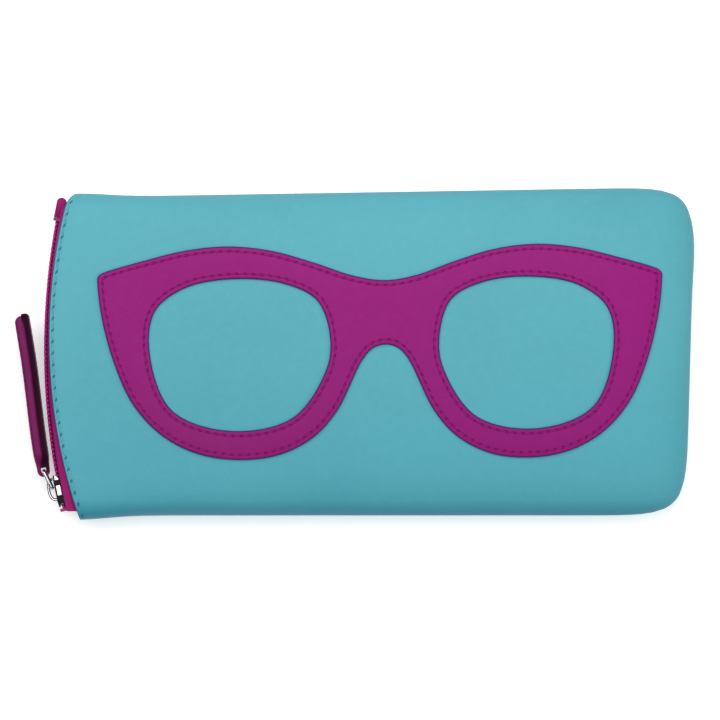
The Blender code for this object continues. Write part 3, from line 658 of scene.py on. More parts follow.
# near-black painted edge, made this dark also as painted shade on the pull's inner side and between
# its layers
PLUM_EDGE_AND_SHADE = edge_look("plum_edge_and_shade", (0.016, 0.001, 0.009), (0.008, 0.001, 0.004))
TURQUOISE_THREAD = thread_look("turquoise_thread", (0.11, 0.4, 0.46), (0.075, 0.32, 0.38))
FUCHSIA_THREAD = thread_look("fuchsia_thread", (0.3, 0.005, 0.17), (0.235, 0.004, 0.135))
TAPE_LOOK = woven_look("zip_tape", (0.33, 0.007, 0.145), (0.22, 0.004, 0.09),
                       (0.42, 0.03, 0.21), 0.62 * MM)
LINING_LOOK = woven_look("lining_cloth", (0.2, 0.02, 0.13), (0.12, 0.01, 0.08),
                         (0.28, 0.04, 0.18), 0.4 * MM)
COIL_LOOK = nylon_look("zip_coil", (0.46, 0.008, 0.21), (0.36, 0.006, 0.16))
STOP_LOOK = nylon_look("zip_stop", (0.27, 0.005, 0.12), (0.2, 0.004, 0.09))
CHROME = chrome_look()
# near-black painted shade and painted dark reflection for the chrome's sides, gaps and hollows
PAINTED_CHROME_SHADE = edge_look("painted_chrome_shade", (0.016, 0.016, 0.018), (0.008, 0.008, 0.009))
FOAM_LOOK = foam_look()


# ---------------------------------------------------------------- leather panels

def case_columns(distances, end_steps, corner_steps):
    """Column values round the case, with points spread evenly along its sides."""
    side = [d * MM / SIDE_RUN for d in distances]
    steps = [math.asin((0.86 * i / end_steps) ** (CORNER_POWER / 2)) for i in range(end_steps + 1)]
    low = steps[-1]
    turns = steps[:]
    turns += [low + (math.pi / 2 - 2 * low) * i / corner_steps for i in range(1, corner_steps)]
    turns += [math.pi / 2 - turn for turn in steps[::-1]]
    half = side + [2 - turn / (math.pi / 2) for turn in turns[::-1]][1:]
    return half + [4 - column for column in half[-2::-1]]


def mouth_distances(step):
    """Distances from the mouth in mm, close together at its rolled and sewn edge."""
    near = [0, .1, .25, .45, .7, .9, 1.1, 1.3, 1.6, 2, 2.6, 3.4, 4.5, 6, 8]
    start, end = near[-1], SIDE_RUN / MM
    count = round((end - start) / step)
    return near + [start + (end - start) * i / count for i in range(1, count + 1)]


def edge_rows(coarse, fine):
    """edgeness from 1 at the seam to 0 at the spine."""
    rows = [1 - 0.17 * (k / fine) ** 2 for k in range(fine)]
    return rows + [0.83 * (1 - k / coarse) for k in range(coarse + 1)]


def leather_point(column, edgeness, face):
    """A point of the outer skin of a panel, with its seam rolled in and its mouth rounded."""
    point = case_point(column, edgeness, face, 0, SEAM_GAP)
    fade = 1 - min(edgeness, 1.0) ** 8
    away = max(point.x - mouth_x(point.y), 0.0) / MM
    height = softness(point.x, point.y, face) * fade * smooth(away / 6)
    height -= SEWN_DEPTH * math.exp(-((away - MOUTH_INSET / MM) / 0.5) ** 2) * MM * fade
    height += SEWN_SWELL * MM * smooth(away / 1.6) * (1 - smooth((away - 2) / 4)) * fade
    height -= MOUTH_ROLL * MM * max(0.0, 1 - away / 0.55) ** 2 * max(fade, 0.3)
    point.z = max(point.z + face * height, 0.0)
    low = max(0.0, 1 - abs(point.z - MID_Z) / (1.3 * MM))
    if low > 0:
        inner = case_point(column, edgeness * 0.97, face, 0, SEAM_GAP)
        inwards = Vector((inner.x - point.x, inner.y - point.y, 0))
        if inwards.length > 0:
            point += inwards.normalized() * SIDE_ROLL * low ** 2
    return point


def make_panels():
    columns = case_columns(mouth_distances(3.6), 12, 9)
    rows = edge_rows(19, 17)
    for side, face in SIDES:
        points = [leather_point(c, r, face) for c in columns for r in rows]
        uv = [(p.y / MOUTH_PITCH, max(p.x - mouth_x(p.y), 0.0)) for p in points]
        item = piece(f"{side}_leather", points, grid_faces(len(columns), len(rows), face > 0),
                     [TURQUOISE, TURQUOISE_EDGE], "case",
                     [f"{side}_panel"], uv, weld=True)
        thicken(item, LEATHER, 1)


def make_layer(side, face, kind, node, thickness, inset, start, look):
    columns = case_columns([5 * k for k in range(28)], 8, 6)
    rows = edge_rows(12, 8)
    points = []
    for c in columns:
        for r in rows:
            p = case_point(c, r, face, start, SEAM_CHANNEL, inset)
            quilt = 0.06 * MM * noise.noise(Vector((p.x, p.y, inset)) * 120)
            p.z += face * quilt * (1 - r ** 8)
            points.append(p)
    item = piece(f"{side}_{kind}", points, grid_faces(len(columns), len(rows), face > 0),
                 [look], "case", [f"{side}_{node}"],
                 [(p.x, p.y) for p in points], weld=True)
    thicken(item, thickness)
    return item


def make_layers():
    for side, face in SIDES:
        foam = make_layer(side, face, "foam", "padding", FOAM, FOAM_INSET, FOAM_START, FOAM_LOOK)
        cloth = make_layer(side, face, "cloth", "lining", LINING, LINING_INSET, LINING_START,
                           LINING_LOOK)


# ---------------------------------------------------------------- applique

APPLIQUE_PROFILE = (            # distance from the edge and height over the leather, in mm
    (0.08, -0.12), (-0.02, 0.12), (-0.03, 0.4), (0.0, 0.65), (0.1, 0.86), (0.27, 0.98),
    (0.5, 1.05), (0.8, 1.07), (1.05, 1.06), (1.25, 1.04), (1.4, 1.03), (1.55, 1.04),
    (1.75, 1.06), (1.95, 1.07))
APPLIQUE_GROOVE = 1.03             # mm over the leather
PAINTED_RINGS = 6                  # rings of the profile that are its cut edge


def applique_height(distance):
    """Height in mm over the leather, at a distance in mm inside the sewn edge."""
    return 1.07 + 0.08 * smooth((distance - 1.95) / 2.4)


def glasses_point(point, side):
    x = side * point[0] * GLASSES_STRETCH[side] * MM
    y = point[1] * MM
    cos, sin = math.cos(GLASSES_TURN), math.sin(GLASSES_TURN)
    return Vector((GLASSES_CENTRE + x * cos - y * sin, x * sin + y * cos))


def glasses_loops(steps):
    right = [glasses_point(p, 1) for p in GLASSES_OUTLINE]
    left = [glasses_point(p, -1) for p in GLASSES_OUTLINE[1:-1]]
    outer = spline_loop((right + left[::-1])[::-1], steps)
    left_lens = spline_loop([glasses_point(p, -1) for p in LENS_OUTLINE], steps)
    right_lens = spline_loop([glasses_point(p, 1) for p in LENS_OUTLINE[::-1]], steps)
    return outer, left_lens, right_lens


def inside(point, loops):
    """Whether the point is inside the outer loop and outside the lens holes."""
    hit = False
    for loop in loops:
        for a, b in zip(loop, loop[1:] + loop[:1]):
            if (a.y > point.y) != (b.y > point.y):
                hit ^= point.x < a.x + (point.y - a.y) / (b.y - a.y) * (b.x - a.x)
    return hit


def fill(loops, spacing, clearance):
    """Triangles between the outer loop and the lens loops, with evenly spread points."""
    flat = [p for loop in loops for p in loop]
    tree = KDTree(len(flat))
    for i, p in enumerate(flat):
        tree.insert((p.x, p.y, 0), i)
    tree.balance()
    edges = []
    for loop in loops:
        start, count = len(edges), len(loop)
        edges += [(start + i, start + (i + 1) % count) for i in range(count)]
    low_x, high_x = min(p.x for p in flat), max(p.x for p in flat)
    low_y, high_y = min(p.y for p in flat), max(p.y for p in flat)
    step = spacing * 0.87
    extra = []
    for row in range(int((high_y - low_y) / step) + 1):
        for column in range(int((high_x - low_x) / spacing) + 1):
            p = Vector((low_x + (column + 0.5 * (row % 2)) * spacing, low_y + row * step))
            if tree.find((p.x, p.y, 0))[2] > clearance and inside(p, loops):
                extra.append(p)
    points, _, triangles, origin = delaunay_2d_cdt(flat + extra, edges, [], 0, 1e-7)[:4]
    kept = []
    for t in triangles:
        if inside(sum((points[i] for i in t), Vector((0, 0))) / 3, loops):
            kept.append(t)
    return points, kept, [found[0] if found else -1 for found in origin], tree


def over_leather(p, height):
    """The point height mm over the front leather."""
    return Vector((p.x, p.y, leather_z(p.x, p.y) + height * MM))


def make_applique():
    loops = glasses_loops(11)
    signs = (1, -1, -1)
    points, faces, uv, rims, routes = [], [], [], [], []
    for loop, sign in zip(loops, signs):
        route = Route(inset_loop(loop, sign * APPLIQUE_INSET), True)
        count = round(route.length / APPLIQUE_PITCH)
        routes.append((route, count))
        rims.append(len(points))
        for distance, height in APPLIQUE_PROFILE:
            for run, p in zip(route.runs, inset_loop(loop, sign * distance * MM)):
                points.append(over_leather(p, height))
                uv.append((run / route.length * count, max(distance, 0) * MM))
        faces += grid_faces(len(APPLIQUE_PROFILE), len(loop), sign > 0, True, rims[-1])

    def close(ring, spacing, clearance, height_at):
        """Triangles across from the numbered ring of each loop, with points in between."""
        level = APPLIQUE_PROFILE[ring][0]
        edges = [inset_loop(loop, sign * level * MM) for loop, sign in zip(loops, signs)]
        known = [first + ring * len(loop) + i
                 for first, loop in zip(rims, loops) for i in range(len(loop))]
        spots, triangles, origin, tree = fill(edges, spacing * MM, clearance * MM)
        number = []
        for p, source in zip(spots, origin):
            if 0 <= source < len(known):
                number.append(known[source])
                continue
            distance = tree.find((p.x, p.y, 0))[2] / MM + level
            number.append(len(points))
            points.append(over_leather(p, height_at(distance)))
            uv.append((0.5, distance * MM))
        return [[number[i] for i in t] for t in triangles]

    faces += close(len(APPLIQUE_PROFILE) - 1, 2.1, 1.0, applique_height)
    faces += [face[::-1] for face in close(0, 5, 2.5, lambda distance: -0.1)]
    item = piece("glasses_applique_leather", points, faces, [FUCHSIA, FUCHSIA_EDGE], "case",
                 ["glasses_applique"], uv,
                 wrap=min(count for _, count in routes))
    painted = {first + i for first, loop in zip(rims, loops) for i in range(PAINTED_RINGS * len(loop))}
    mark(item.data.polygons, lambda face: painted.issuperset(face.vertices))
    for name, (route, count) in zip(("applique_outline", "left_lens", "right_lens"), routes):
        def place(s, route=route):
            return over_leather(route.at(s), APPLIQUE_GROOVE), UP
        stitches(f"{name}_stitches", place, count, route.length / count, "case",
                 FUCHSIA_THREAD, [f"{name}_stitching"],
                 sink=APPLIQUE_THREAD_SINK)


def make_mouth_stitches():
    first = -(MOUTH_STITCHES // 2) * MOUTH_PITCH
    for side, face in SIDES:
        def place(s, face=face):
            y = first + s
            x = mouth_x(y) + MOUTH_INSET
            edgeness = edgeness_at(x, y)
            z = face_z(half_thickness(x, edgeness), face)
            fade = 1 - edgeness ** 8
            lift = (SEWN_SWELL * smooth(MOUTH_INSET / MM / 1.6) - SEWN_DEPTH) * MM * fade
            return Vector((x, y, z + face * lift)), Vector((0, 0, face))
        stitches(f"{side}_mouth_stitches", place, MOUTH_STITCHES, MOUTH_PITCH, "case",
                 TURQUOISE_THREAD, [f"{side}_mouth_stitching"])


def make_seam_thread():
    """The thread of the side seam, in the channel between the foam edges."""
    columns = case_columns([12 + 5 * k for k in range(26)], 10, 10)
    line = [case_point(c, 1, 1, 0, 0) for c in columns]
    inner = []
    for point, behind, ahead in zip(line, line[:1] + line, line[1:] + line[-1:]):
        along = ahead - behind
        spot = point + Vector((along.y, -along.x, 0)).normalized() * SEAM_THREAD_IN
        inner.append(Vector((spot.x, spot.y, MID_Z)))
    points, faces = tube(inner, SEAM_THREAD, 10)
    piece("side_seam_stitch_thread", points, faces, [TURQUOISE_THREAD], "case",
          ["side_seam_thread"])


# ---------------------------------------------------------------- zip

def chain_angle(y):
    return math.asin((y - CHAIN_CENTRE[1]) / CHAIN_RADIUS)


def chain_point(angle, out, z):
    radius = CHAIN_RADIUS + out
    return Vector((CHAIN_CENTRE[0] - radius * math.cos(angle),
                   CHAIN_CENTRE[1] + radius * math.sin(angle), MID_Z + z))


def chain_pose(y):
    """Frame on the chain at height y: -X points outwards and +Y along the chain."""
    angle = chain_angle(y)
    return Matrix.Translation(chain_point(angle, 0, 0)) @ Matrix.Rotation(-angle, 4, "Z")


CHAIN_START, CHAIN_END = (chain_angle(y) for y in CHAIN_ENDS)


def tape_lift(y):
    """Half the mouth's height between the two tapes."""
    bottom, top = side_limits(mouth_x(y))
    tuck = LEATHER + TAPE_CLEARANCE
    eta = (2 * y - top - bottom) / (top - bottom - 2 * tuck)
    return (MOUTH_DEPTH - tuck) * math.sqrt(max(0.0, 1 - abs(eta) ** MOUTH_FULLNESS))


def make_coils():
    """Each side's nylon coil: a flattened spiral whose heads hook past the middle."""
    step = COIL_PITCH / CHAIN_RADIUS
    turns = int((CHAIN_END - CHAIN_START) * CHAIN_RADIUS / COIL_PITCH) - 1
    middle_out = (COIL_OUT + COIL_IN) / 2
    half_out = (COIL_OUT - COIL_IN) / 2 - COIL_WIRE
    low, high = COIL_HEAD, COIL_TOP - COIL_WIRE
    for side, face, shift in (("front", 1, 0.0), ("back", -1, 0.5)):
        line, radius = [], []
        for i in range(turns * COIL_STEPS + 1):
            turn = i / COIL_STEPS
            cos, sin = math.cos(math.tau * turn), math.sin(math.tau * turn)
            out = middle_out + half_out * power(cos, 0.8)
            z = (low + high) / 2 - (high - low) / 2 * power(sin, 0.8)
            along = turn + shift + math.copysign(0.15, cos) * (1 - abs(sin))
            line.append(chain_point(CHAIN_START + (along + 0.5) * step, out, face * z))
            head = max(0.0, 1 - abs(z - low) / (0.7 * MM))
            radius.append(COIL_WIRE * (1 + 0.18 * head))
        points, faces = tube(line, radius, 9)
        first, last = CHAIN_START + step, CHAIN_END - 2 * step
        cord = [chain_point(first + (last - first) * k / 60, middle_out, face * CORD_Z)
                for k in range(61)]
        rings, more = tube(cord, CORD_RADIUS, 10, first=len(points))
        piece(f"{side}_zip_spiral", points + rings, faces + more, [COIL_LOOK], "case",
              [f"{side}_zip_coil"])


def tape_point(angle, face, part, share):
    """A point of a tape and its distance across: upright at the chain, bent over, tucked in."""
    spot = chain_point(angle, TAPE_OUT, 0)
    lift = tape_lift(spot.y)
    if part == "upright":
        across = TAPE_EDGE + (TAPE_FLAT - TAPE_EDGE) * share
        spot.z += face * min(across, lift)
    elif part == "bend":
        bend = math.pi / 2 * share
        rise = max(lift - TAPE_FLAT, 0) * math.sin(bend)
        spot += Vector((TAPE_BEND * (1 - math.cos(bend)), 0, face * (TAPE_FLAT + rise)))
        across = TAPE_FLAT + bend * 1.5 * MM
    else:
        spot.x += TAPE_BEND
        spot.x += (mouth_x(spot.y) + TAPE_TUCK - spot.x) * share
        spot.z += face * lift
        across = TAPE_FLAT + (2.4 + 5 * share) * MM
    return spot, (angle * CHAIN_RADIUS, across)


def make_tapes():
    angles = [CHAIN_START + (CHAIN_END - CHAIN_START) * i / 150 for i in range(151)]
    rows = [("upright", k / 12) for k in range(13)] + [("bend", k / 12) for k in range(1, 13)]
    rows += [("tuck", k / 5) for k in range(1, 6)]
    for side, face in SIDES:
        made = [tape_point(angle, face, *row) for row in rows for angle in angles]
        points, uv = zip(*made)
        item = piece(f"{side}_zip_tape_cloth", points,
                     grid_faces(len(rows), len(angles), face < 0), [TAPE_LOOK], "case",
                     [f"{side}_zip_tape"], uv, weld=True)
        thicken(item, TAPE)


def ribbon(pose, path, first=0):
    """Points and faces of a strip that is wide along Z, and the points in its cross-section.

    Each point of the path is (along, out, turn of its normal, thickness, half width, radius of
    its long edges) in the frame of the pose.
    """
    points = []
    count = 4 * (CORNER_SIDES + 1)
    for along, out, turn, thick, width, corner in path:
        spot = pose @ Vector((-out, along, 0))
        normal = direction(pose, -math.cos(turn), math.sin(turn))
        for k in range(count):
            quadrant, step = divmod(k, CORNER_SIDES + 1)
            around = math.pi / 2 * (quadrant + step / CORNER_SIDES)
            across = (thick / 2 - corner) * (1 if quadrant in (0, 3) else -1)
            high = (width - corner) * (1 if quadrant in (0, 1) else -1)
            points.append(spot + normal * (across + corner * math.cos(around))
                          + UP * (high + corner * math.sin(around)))
    faces = grid_faces(len(path), count, around=True, first=first)
    faces.append([first + k for k in range(count)])
    faces.append([first + (len(path) - 1) * count + k for k in range(count)][::-1])
    return points, faces, count


def direction(pose, x, y=0):
    return pose.to_3x3() @ Vector((x, y, 0))


def rounded(item, width, segments):
    soft = item.modifiers.new("Round", "BEVEL")
    soft.width = width
    soft.segments = segments
    return soft


def outward_faces(item):
    bm = bmesh.new()
    bm.from_mesh(item.data)
    bmesh.ops.recalc_face_normals(bm, faces=bm.faces)
    bm.to_mesh(item.data)
    bm.free()


def make_end_tab():
    """A strip of tape folded over the end of the chain, with a filler inside."""
    pose = chain_pose(TAB_Y)
    middle = (TAB_OUT + TAB_IN) / 2
    gap = (TAB_OUT - TAB_IN) / 2
    radius = gap + TAB_THICKNESS / 2
    span = TAB_LENGTH - TAB_START
    path = [(TAB_START + span * k / 8, radius, 0) for k in range(9)]
    path += [(TAB_LENGTH + radius * math.sin(t), radius * math.cos(t), t)
             for t in (math.pi * k / 16 for k in range(1, 17))]
    path += [(TAB_LENGTH - span * k / 8, -radius, math.pi) for k in range(1, 9)]
    path = [(along, middle + out, turn, TAB_THICKNESS, TAB_HALF_WIDTH, 0.17 * MM)
            for along, out, turn in path]
    points, faces, ring = ribbon(pose, path)
    runs = Route([Vector(spot[:2]) for spot in path]).runs
    uv = [(runs[i // ring], p.z) for i, p in enumerate(points)]
    filler = [(TAB_START + 0.05 * MM, 2 * gap)]
    for k in range(10):
        turn = math.radians(9 * k)
        thick = max(2 * gap * math.cos(turn), 0.3 * MM)
        filler.append((TAB_LENGTH + gap * math.sin(turn), thick))
    filler = [(along, middle, 0, thick, TAB_HALF_WIDTH - 0.1 * MM, 0.12 * MM)
              for along, thick in filler]
    inner, more, _ = ribbon(pose, filler, len(points))
    item = piece("folded_end_tab", points + inner, faces + more, [TAPE_LOOK], "case",
                 ["zip_end_tab"], uv + [(p.y, p.z) for p in inner])
    outward_faces(item)


def dress_stops():
    for node in ("zip_bottom_stop", "front_zip_top_stop", "back_zip_top_stop"):
        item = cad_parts[node]
        item.data.materials.clear()
        item.data.materials.append(STOP_LOOK)
        rounded(item, 0.08 * MM, 2)


# ---------------------------------------------------------------- slider, ring and pull

def plate(low, high, pose, soften):
    """A slider plate: wide where the sides part, narrow at the tail, with soft corners."""
    half, wide = SLIDER_LENGTH / 2, SLIDER_WIDTH / 2
    side = [(-half, 0.0), (-half, 0.45), (-0.93 * half, 0.72), (-0.8 * half, 0.92),
            (-0.55 * half, 1.0), (-0.1 * half, 1.0), (0.35 * half, 0.93), (0.75 * half, 0.86),
            (0.92 * half, 0.76), (half, 0.5), (half, 0.0)]
    outline = side + [(y, -z) for y, z in side[-2:0:-1]]
    full = max(low + 0.25 * MM, high - 0.55 * MM)
    levels = [(low, 1 - soften), (low + 0.12 * MM, 1 - soften * 0.3), (low + 0.25 * MM, 1.0),
              (full, 1.0), (high - 0.13 * MM, 1 - soften * 0.35), (high, 1 - soften)]
    bm = bmesh.new()
    rings = [[bm.verts.new(pose @ Vector((-out, y * scale, z * wide * scale)))
              for y, z in outline] for out, scale in levels]
    count = len(outline)
    for lower, upper in zip(rings, rings[1:]):
        for k in range(count):
            bm.faces.new((lower[k], lower[(k + 1) % count], upper[(k + 1) % count], upper[k]))
    bm.faces.new(rings[0])
    bm.faces.new(rings[-1])
    bmesh.ops.recalc_face_normals(bm, faces=bm.faces)
    return bm


def hull_box(pose, low, high):
    bm = bmesh.new()
    size = [b - a for a, b in zip(low, high)]
    centre = [(a + b) / 2 for a, b in zip(low, high)]
    bmesh.ops.create_cube(bm, size=1, matrix=pose @ Matrix.Translation(centre)
                          @ Matrix.Diagonal((*size, 1)))
    return bm


def to_object(bm, name):
    mesh = bpy.data.meshes.new(name)
    bm.to_mesh(mesh)
    bm.free()
    return placed(name, mesh)


def add_body(bm, mesh, look):
    """Adds a closed body to bm, gives its faces the look's number and returns them."""
    first = len(bm.faces)
    bm.from_mesh(mesh)
    bm.faces.ensure_lookup_table()
    for face in bm.faces[first:]:
        face.material_index = look
    return bm.faces[first:]


def slider_shell(pose):
    """The slider's outer half, cut free for the chain and open at the gaps of its flanges."""
    shell = to_object(plate(-0.1 * MM, PLATE_OUT, pose, PLATE_SOFTNESS), "slider_shell")
    cutters = [(-2 * SLIDER_LENGTH, 2 * SLIDER_LENGTH, FLANGE_IN)]
    cutters += [(low, high, SLIDER_WIDTH) for low, high in FLANGE_GAPS]
    tools = []
    for low, high, wide in cutters:
        block = hull_box(pose, (-PLATE_IN, low, -wide), (2 * MM, high, wide))
        tools.append(to_object(block, "cutter"))
        cut = shell.modifiers.new("Cut", "BOOLEAN")
        cut.object = tools[-1]
        cut.solver = "EXACT"
    bpy.context.view_layer.update()
    graph = bpy.context.evaluated_depsgraph_get()
    mesh = bpy.data.meshes.new_from_object(shell.evaluated_get(graph))
    for other in [shell] + tools:
        bpy.data.objects.remove(other, do_unlink=True)
    return mesh


def bridge_path():
    """The hoop over the slider that the ring hangs on, in the form that ribbon takes."""
    middle = (BRIDGE_SPAN[0] + BRIDGE_SPAN[1]) / 2
    half = (BRIDGE_SPAN[1] - BRIDGE_SPAN[0]) / 2 - BRIDGE_THICKNESS / 2
    line, widths = [], []
    for k in range(BRIDGE_STEPS + 1):
        turn = math.pi * k / BRIDGE_STEPS
        reach = power(math.cos(turn), 0.7)
        rise = abs(math.sin(turn)) ** 0.7
        height = BRIDGE_RISE + BRIDGE_SINK - BRIDGE_THICKNESS / 2
        line.append((middle + half * reach, PLATE_OUT - BRIDGE_SINK + height * rise))
        widths.append(BRIDGE_WIDTH / 2 * (1.12 - 0.22 * rise))
    path = []
    for spot, width, behind, ahead in zip(line, widths, line[:1] + line, line[1:] + line[-1:]):
        turn = math.atan2(behind[1] - ahead[1], behind[0] - ahead[0])
        path.append((*spot, -turn, BRIDGE_THICKNESS, width, BRIDGE_CORNER))
    return path


def make_slider():
    pose = chain_pose(SLIDER_Y)
    facing = direction(pose, 1)
    inverse = pose.inverted()
    bm = bmesh.new()
    bm.from_mesh(slider_shell(pose))
    bm.normal_update()
    # painted shade: the shell's inner faces that do not face out get the dark look
    mark(bm.faces, lambda face: -(inverse @ face.calc_center_median()).x > PLATE_IN
         and abs(face.normal.dot(facing)) < 0.8)
    # dark walls of painted shade close the flange gaps
    bodies = [(hull_box(pose, (-PLATE_IN - 0.05 * MM, low - 0.1 * MM, z),
                        (0.08 * MM, high + 0.1 * MM, z + GAP_SHADE_WALL[1] - GAP_SHADE_WALL[0])), 1)
              for low, high in FLANGE_GAPS for z in (GAP_SHADE_WALL[0], -GAP_SHADE_WALL[1])]
    bodies.append((plate(-PLATE_OUT, -PLATE_IN, pose, PLATE_SOFTNESS), 0))
    bodies.append((hull_box(pose, (-PLATE_IN - 0.1 * MM, POST_ENDS[0], -POST_HALF_WIDTH),
                            (PLATE_IN + 0.1 * MM, POST_ENDS[1], POST_HALF_WIDTH)), 0))
    for body, look in bodies:
        mesh = bpy.data.meshes.new("body")
        body.to_mesh(mesh)
        body.free()
        add_body(bm, mesh, look)
    points, faces, _ = ribbon(pose, bridge_path())
    mesh = bpy.data.meshes.new("bridge")
    mesh.from_pydata(points, [], faces)
    hoop = add_body(bm, mesh, 0)
    bmesh.ops.recalc_face_normals(bm, faces=bm.faces)
    bm.normal_update()
    # painted shade and painted dark reflection: the bridge's sides and its inner face get the dark
    # look
    middle = pose @ Vector((-PLATE_OUT, (BRIDGE_SPAN[0] + BRIDGE_SPAN[1]) / 2, 0))
    mark(hoop, lambda face: abs(face.normal.z) < 0.99 and (
        abs(face.normal.z) > 0.3 or (face.calc_center_median() - middle).dot(face.normal) < 0))
    bm.verts.index_update()
    item = piece("slider_casting", [v.co for v in bm.verts],
                 [[v.index for v in f.verts] for f in bm.faces], [CHROME, PAINTED_CHROME_SHADE], "slider",
                 ["slider_body"])
    for polygon, face in zip(item.data.polygons, bm.faces):
        polygon.material_index = face.material_index
    bm.free()
    soft = rounded(item, 0.1 * MM, 3)
    soft.limit_method = "ANGLE"
    soft.angle_limit = math.radians(50)
    item.data.set_sharp_from_angle(angle=math.radians(40))
    return pose


def make_ring(slider_at):
    along, out = RING_AXIS
    pose = slider_at @ Matrix.Translation((-out, along, 0)) @ Matrix.Rotation(RING_LEAN, 4, "Z")
    near, far, side = RING_CORNER, RING_LENGTH - RING_CORNER, RING_HALF_WIDTH - RING_CORNER
    arcs = []
    for y, z, start in ((far, side, 0), (near, side, 90), (near, -side, 180), (far, -side, 270)):
        turns = [math.radians(start + 90 * step / 8) for step in range(9)]
        arcs.append([pose @ Vector((0, y + RING_CORNER * math.cos(turn),
                                    z + RING_CORNER * math.sin(turn))) for turn in turns])
    line = []
    for arc, following in zip(arcs, arcs[1:] + arcs[:1]):
        line += arc + [arc[-1].lerp(following[0], step / 5) for step in range(1, 5)]
    points, faces = tube(line, WIRE_RADIUS, 16, closed=True)
    item = piece("ring_wire", points, faces, [CHROME, PAINTED_CHROME_SHADE], "ring", ["pull_ring"])
    # painted dark reflection: the faces of the wire that face sideways get the dark look
    across = direction(pose, 1)
    mark(item.data.polygons, lambda face: abs(face.normal.dot(across)) > 0.88)
    return pose


def pull_half_width(along):
    """Half the strip's width: narrow through the ring, full on the blade, round at the tip."""
    share = smooth((along - PULL_NECK) / (PULL_SWELL - PULL_NECK))
    width = PULL_NECK_HALF_WIDTH + (PULL_HALF_WIDTH - PULL_NECK_HALF_WIDTH) * share
    tip = max(0.0, (along - (PULL_LENGTH - 2.6 * MM)) / (2.6 * MM))
    return width - 2.0 * MM * (1 - math.sqrt(max(0.0, 1 - tip ** 2)))


def pull_bend(along):
    """How far the strip bends in towards the case beyond its neck."""
    return PULL_BEND * smooth((along - PULL_SWELL) / PULL_BEND_RUN)


def pull_path():
    """The strip from its tip down the outside, round the ring's bar and up to the tip again.

    Each point is (along, out, turn of its normal, thickness, corner radius).
    """
    half, eye = PULL_THICKNESS / 2, EYE_RADIUS - EYE_HOLE
    bar = (EYE_RADIUS + EYE_HOLE) / 2
    legs = []
    for sign, layer, corner in ((1, PULL_OUTER, 1.0 * MM), (-1, PULL_INNER, 0.4 * MM)):
        out = half - layer / 2
        tip = PULL_LENGTH - layer / 2 - PULL_SLANT * (half + sign * out)
        leg = [(tip, 0.0, math.pi / 2, layer, corner)]
        for k in range(9):
            turn = math.pi / 2 * k / 8
            leg.append((tip - PULL_TURN * (1 - math.cos(turn)),
                        out - PULL_TURN * (1 - math.sin(turn)), math.pi / 2 - turn, layer, corner))
        for k in range(1, 27):
            along = tip - PULL_TURN + (PULL_SWELL - tip + PULL_TURN) * k / 26
            leg.append((along, out, 0.0, layer, corner))
        for k in range(1, 8):
            share = smooth(k / 8)
            leg.append((PULL_SWELL * (1 - k / 8), out + (bar - out) * share, 0.0,
                        layer + (eye - layer) * share, corner + (EYE_CORNER - corner) * share))
        legs.append(leg)
    turns = [math.pi * k / 16 for k in range(17)]
    return (legs[0] + [(-bar * math.sin(t), bar * math.cos(t), -t, eye, EYE_CORNER) for t in turns]
            + [(along, -out, math.pi - turn, *rest) for along, out, turn, *rest in legs[1][::-1]])


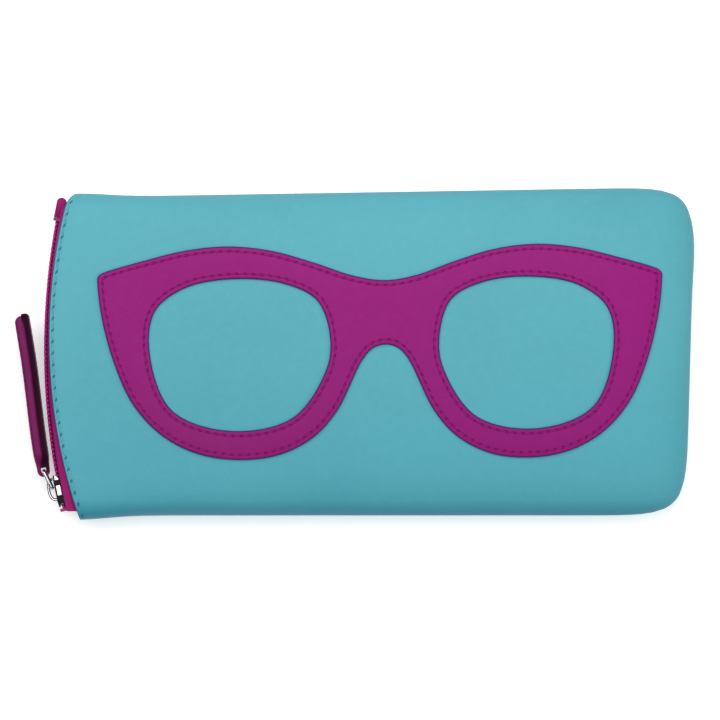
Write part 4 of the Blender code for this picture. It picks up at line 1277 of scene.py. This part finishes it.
def make_pull(ring_at):
    place = ring_at @ Matrix.Translation((0, RING_LENGTH, 0))
    pose = Matrix.Translation(place.translation) @ Matrix.Rotation(PULL_LEAN, 4, "Z")
    half = PULL_THICKNESS / 2
    path = [(along, out - pull_bend(along), turn, thick, pull_half_width(max(along, 0)), corner)
            for along, out, turn, thick, corner in pull_path()]
    points, faces, ring = ribbon(pose, path)
    inverse = pose.inverted()
    uv = [((inverse @ p).y / PULL_PITCH, PULL_HALF_WIDTH) for p in points]
    item = piece("pull_leather_strip", points, faces, [PLUM, PLUM_EDGE_AND_SHADE], "pull",
                 ["leather_pull"], uv)
    # painted edge and painted shade: the inner layer's long edges get the near-black look
    mark(item.data.polygons, lambda face: face.index // ring > len(path) * 0.55
         and (3 <= face.index % ring <= 8 or 15 <= face.index % ring <= 20))
    outward_faces(item)
    core = []
    high, low = half - PULL_OUTER, PULL_INNER - half
    for k in range(40):            # closer together at the eye
        along = 0.85 * MM + (PULL_LENGTH - 1.9 * MM) * (k / 39) ** 1.5
        top = high + (EYE_HOLE - high) * smooth(1 - along / PULL_SWELL)
        top += 1.1 * MM * smooth((along - PULL_LENGTH + 4.5 * MM) / MM)
        core.append((along, (top + low) / 2 - pull_bend(along), 0, top - low + 0.06 * MM,
                     pull_half_width(along) - 0.3 * MM, 0.15 * MM))
    points, faces, _ = ribbon(pose, core)
    # the filler between the layers is near black: painted shade in the gap
    item = piece("pull_filler", points, faces, [PLUM_EDGE_AND_SHADE], "pull")
    outward_faces(item)
    start, stop = PULL_SWELL + PULL_STITCH_INSET, PULL_LENGTH - 3 * MM
    edge = PULL_HALF_WIDTH - PULL_STITCH_INSET
    route = Route([Vector(p) for p in ((start, edge), (stop, edge), (stop, -edge), (start, -edge))])
    count = round(route.length / PULL_PITCH)
    for name, face in (("outer", -1), ("inner", 1)):
        def spot(s, face=face):
            p = route.at(s)
            place = Vector((face * half + pull_bend(p.x), p.x, p.y))
            return pose @ place, direction(pose, face)
        stitches(f"{name}_pull_stitches", spot, count, route.length / count, "pull",
                 FUCHSIA_THREAD, [f"{name}_pull_stitching"], PULL_THREAD,
                 PULL_THREAD_SINK)


# ---------------------------------------------------------------- stage

def make_stage():
    floor = to_object(hull_box(Matrix.Identity(4), (-3, -3, -0.02), (3, 3, 0)), "floor")
    look = Look("floor", (0.92, 0.92, 0.92), 0.9, Emission_Color=(1, 1, 1), Emission_Strength=0.35)
    floor.data.materials.append(look.made)
    scene = bpy.context.scene
    scene.view_settings.view_transform = "Standard"
    scene.world = bpy.data.worlds.new("studio")
    scene.world.use_nodes = True
    sky = scene.world.node_tree.nodes["Background"]
    sky.inputs[0].default_value = (1, 1, 1, 1)
    sky.inputs[1].default_value = 0.12
    for name, at, size, watts in (("key", (-0.25, 0.35, 0.85), 0.9, 8.5),
                                  ("fill", (0.5, -0.15, 0.9), 1.4, 9.0)):
        light = bpy.data.lights.new(name, "AREA")
        light.size = size
        light.energy = watts
        lamp = placed(name, light)
        lamp.location = at
        lamp.rotation_euler = (-Vector(at)).to_track_quat("-Z", "Y").to_euler()
    camera = bpy.data.cameras.new("camera")
    camera.sensor_width = 36
    camera.lens = camera.sensor_width * CAMERA_DISTANCE / PICTURE_WIDTH
    camera.clip_end = 20
    scene.camera = placed("camera", camera)
    scene.camera.location = (*PICTURE_CENTRE, PICTURE_PLANE + CAMERA_DISTANCE)


make_panels()
make_layers()
make_applique()
make_mouth_stitches()
make_seam_thread()
make_coils()
make_tapes()
make_end_tab()
dress_stops()
SLIDER_AT = make_slider()
RING_AT = make_ring(SLIDER_AT)
make_pull(RING_AT)
make_stage()
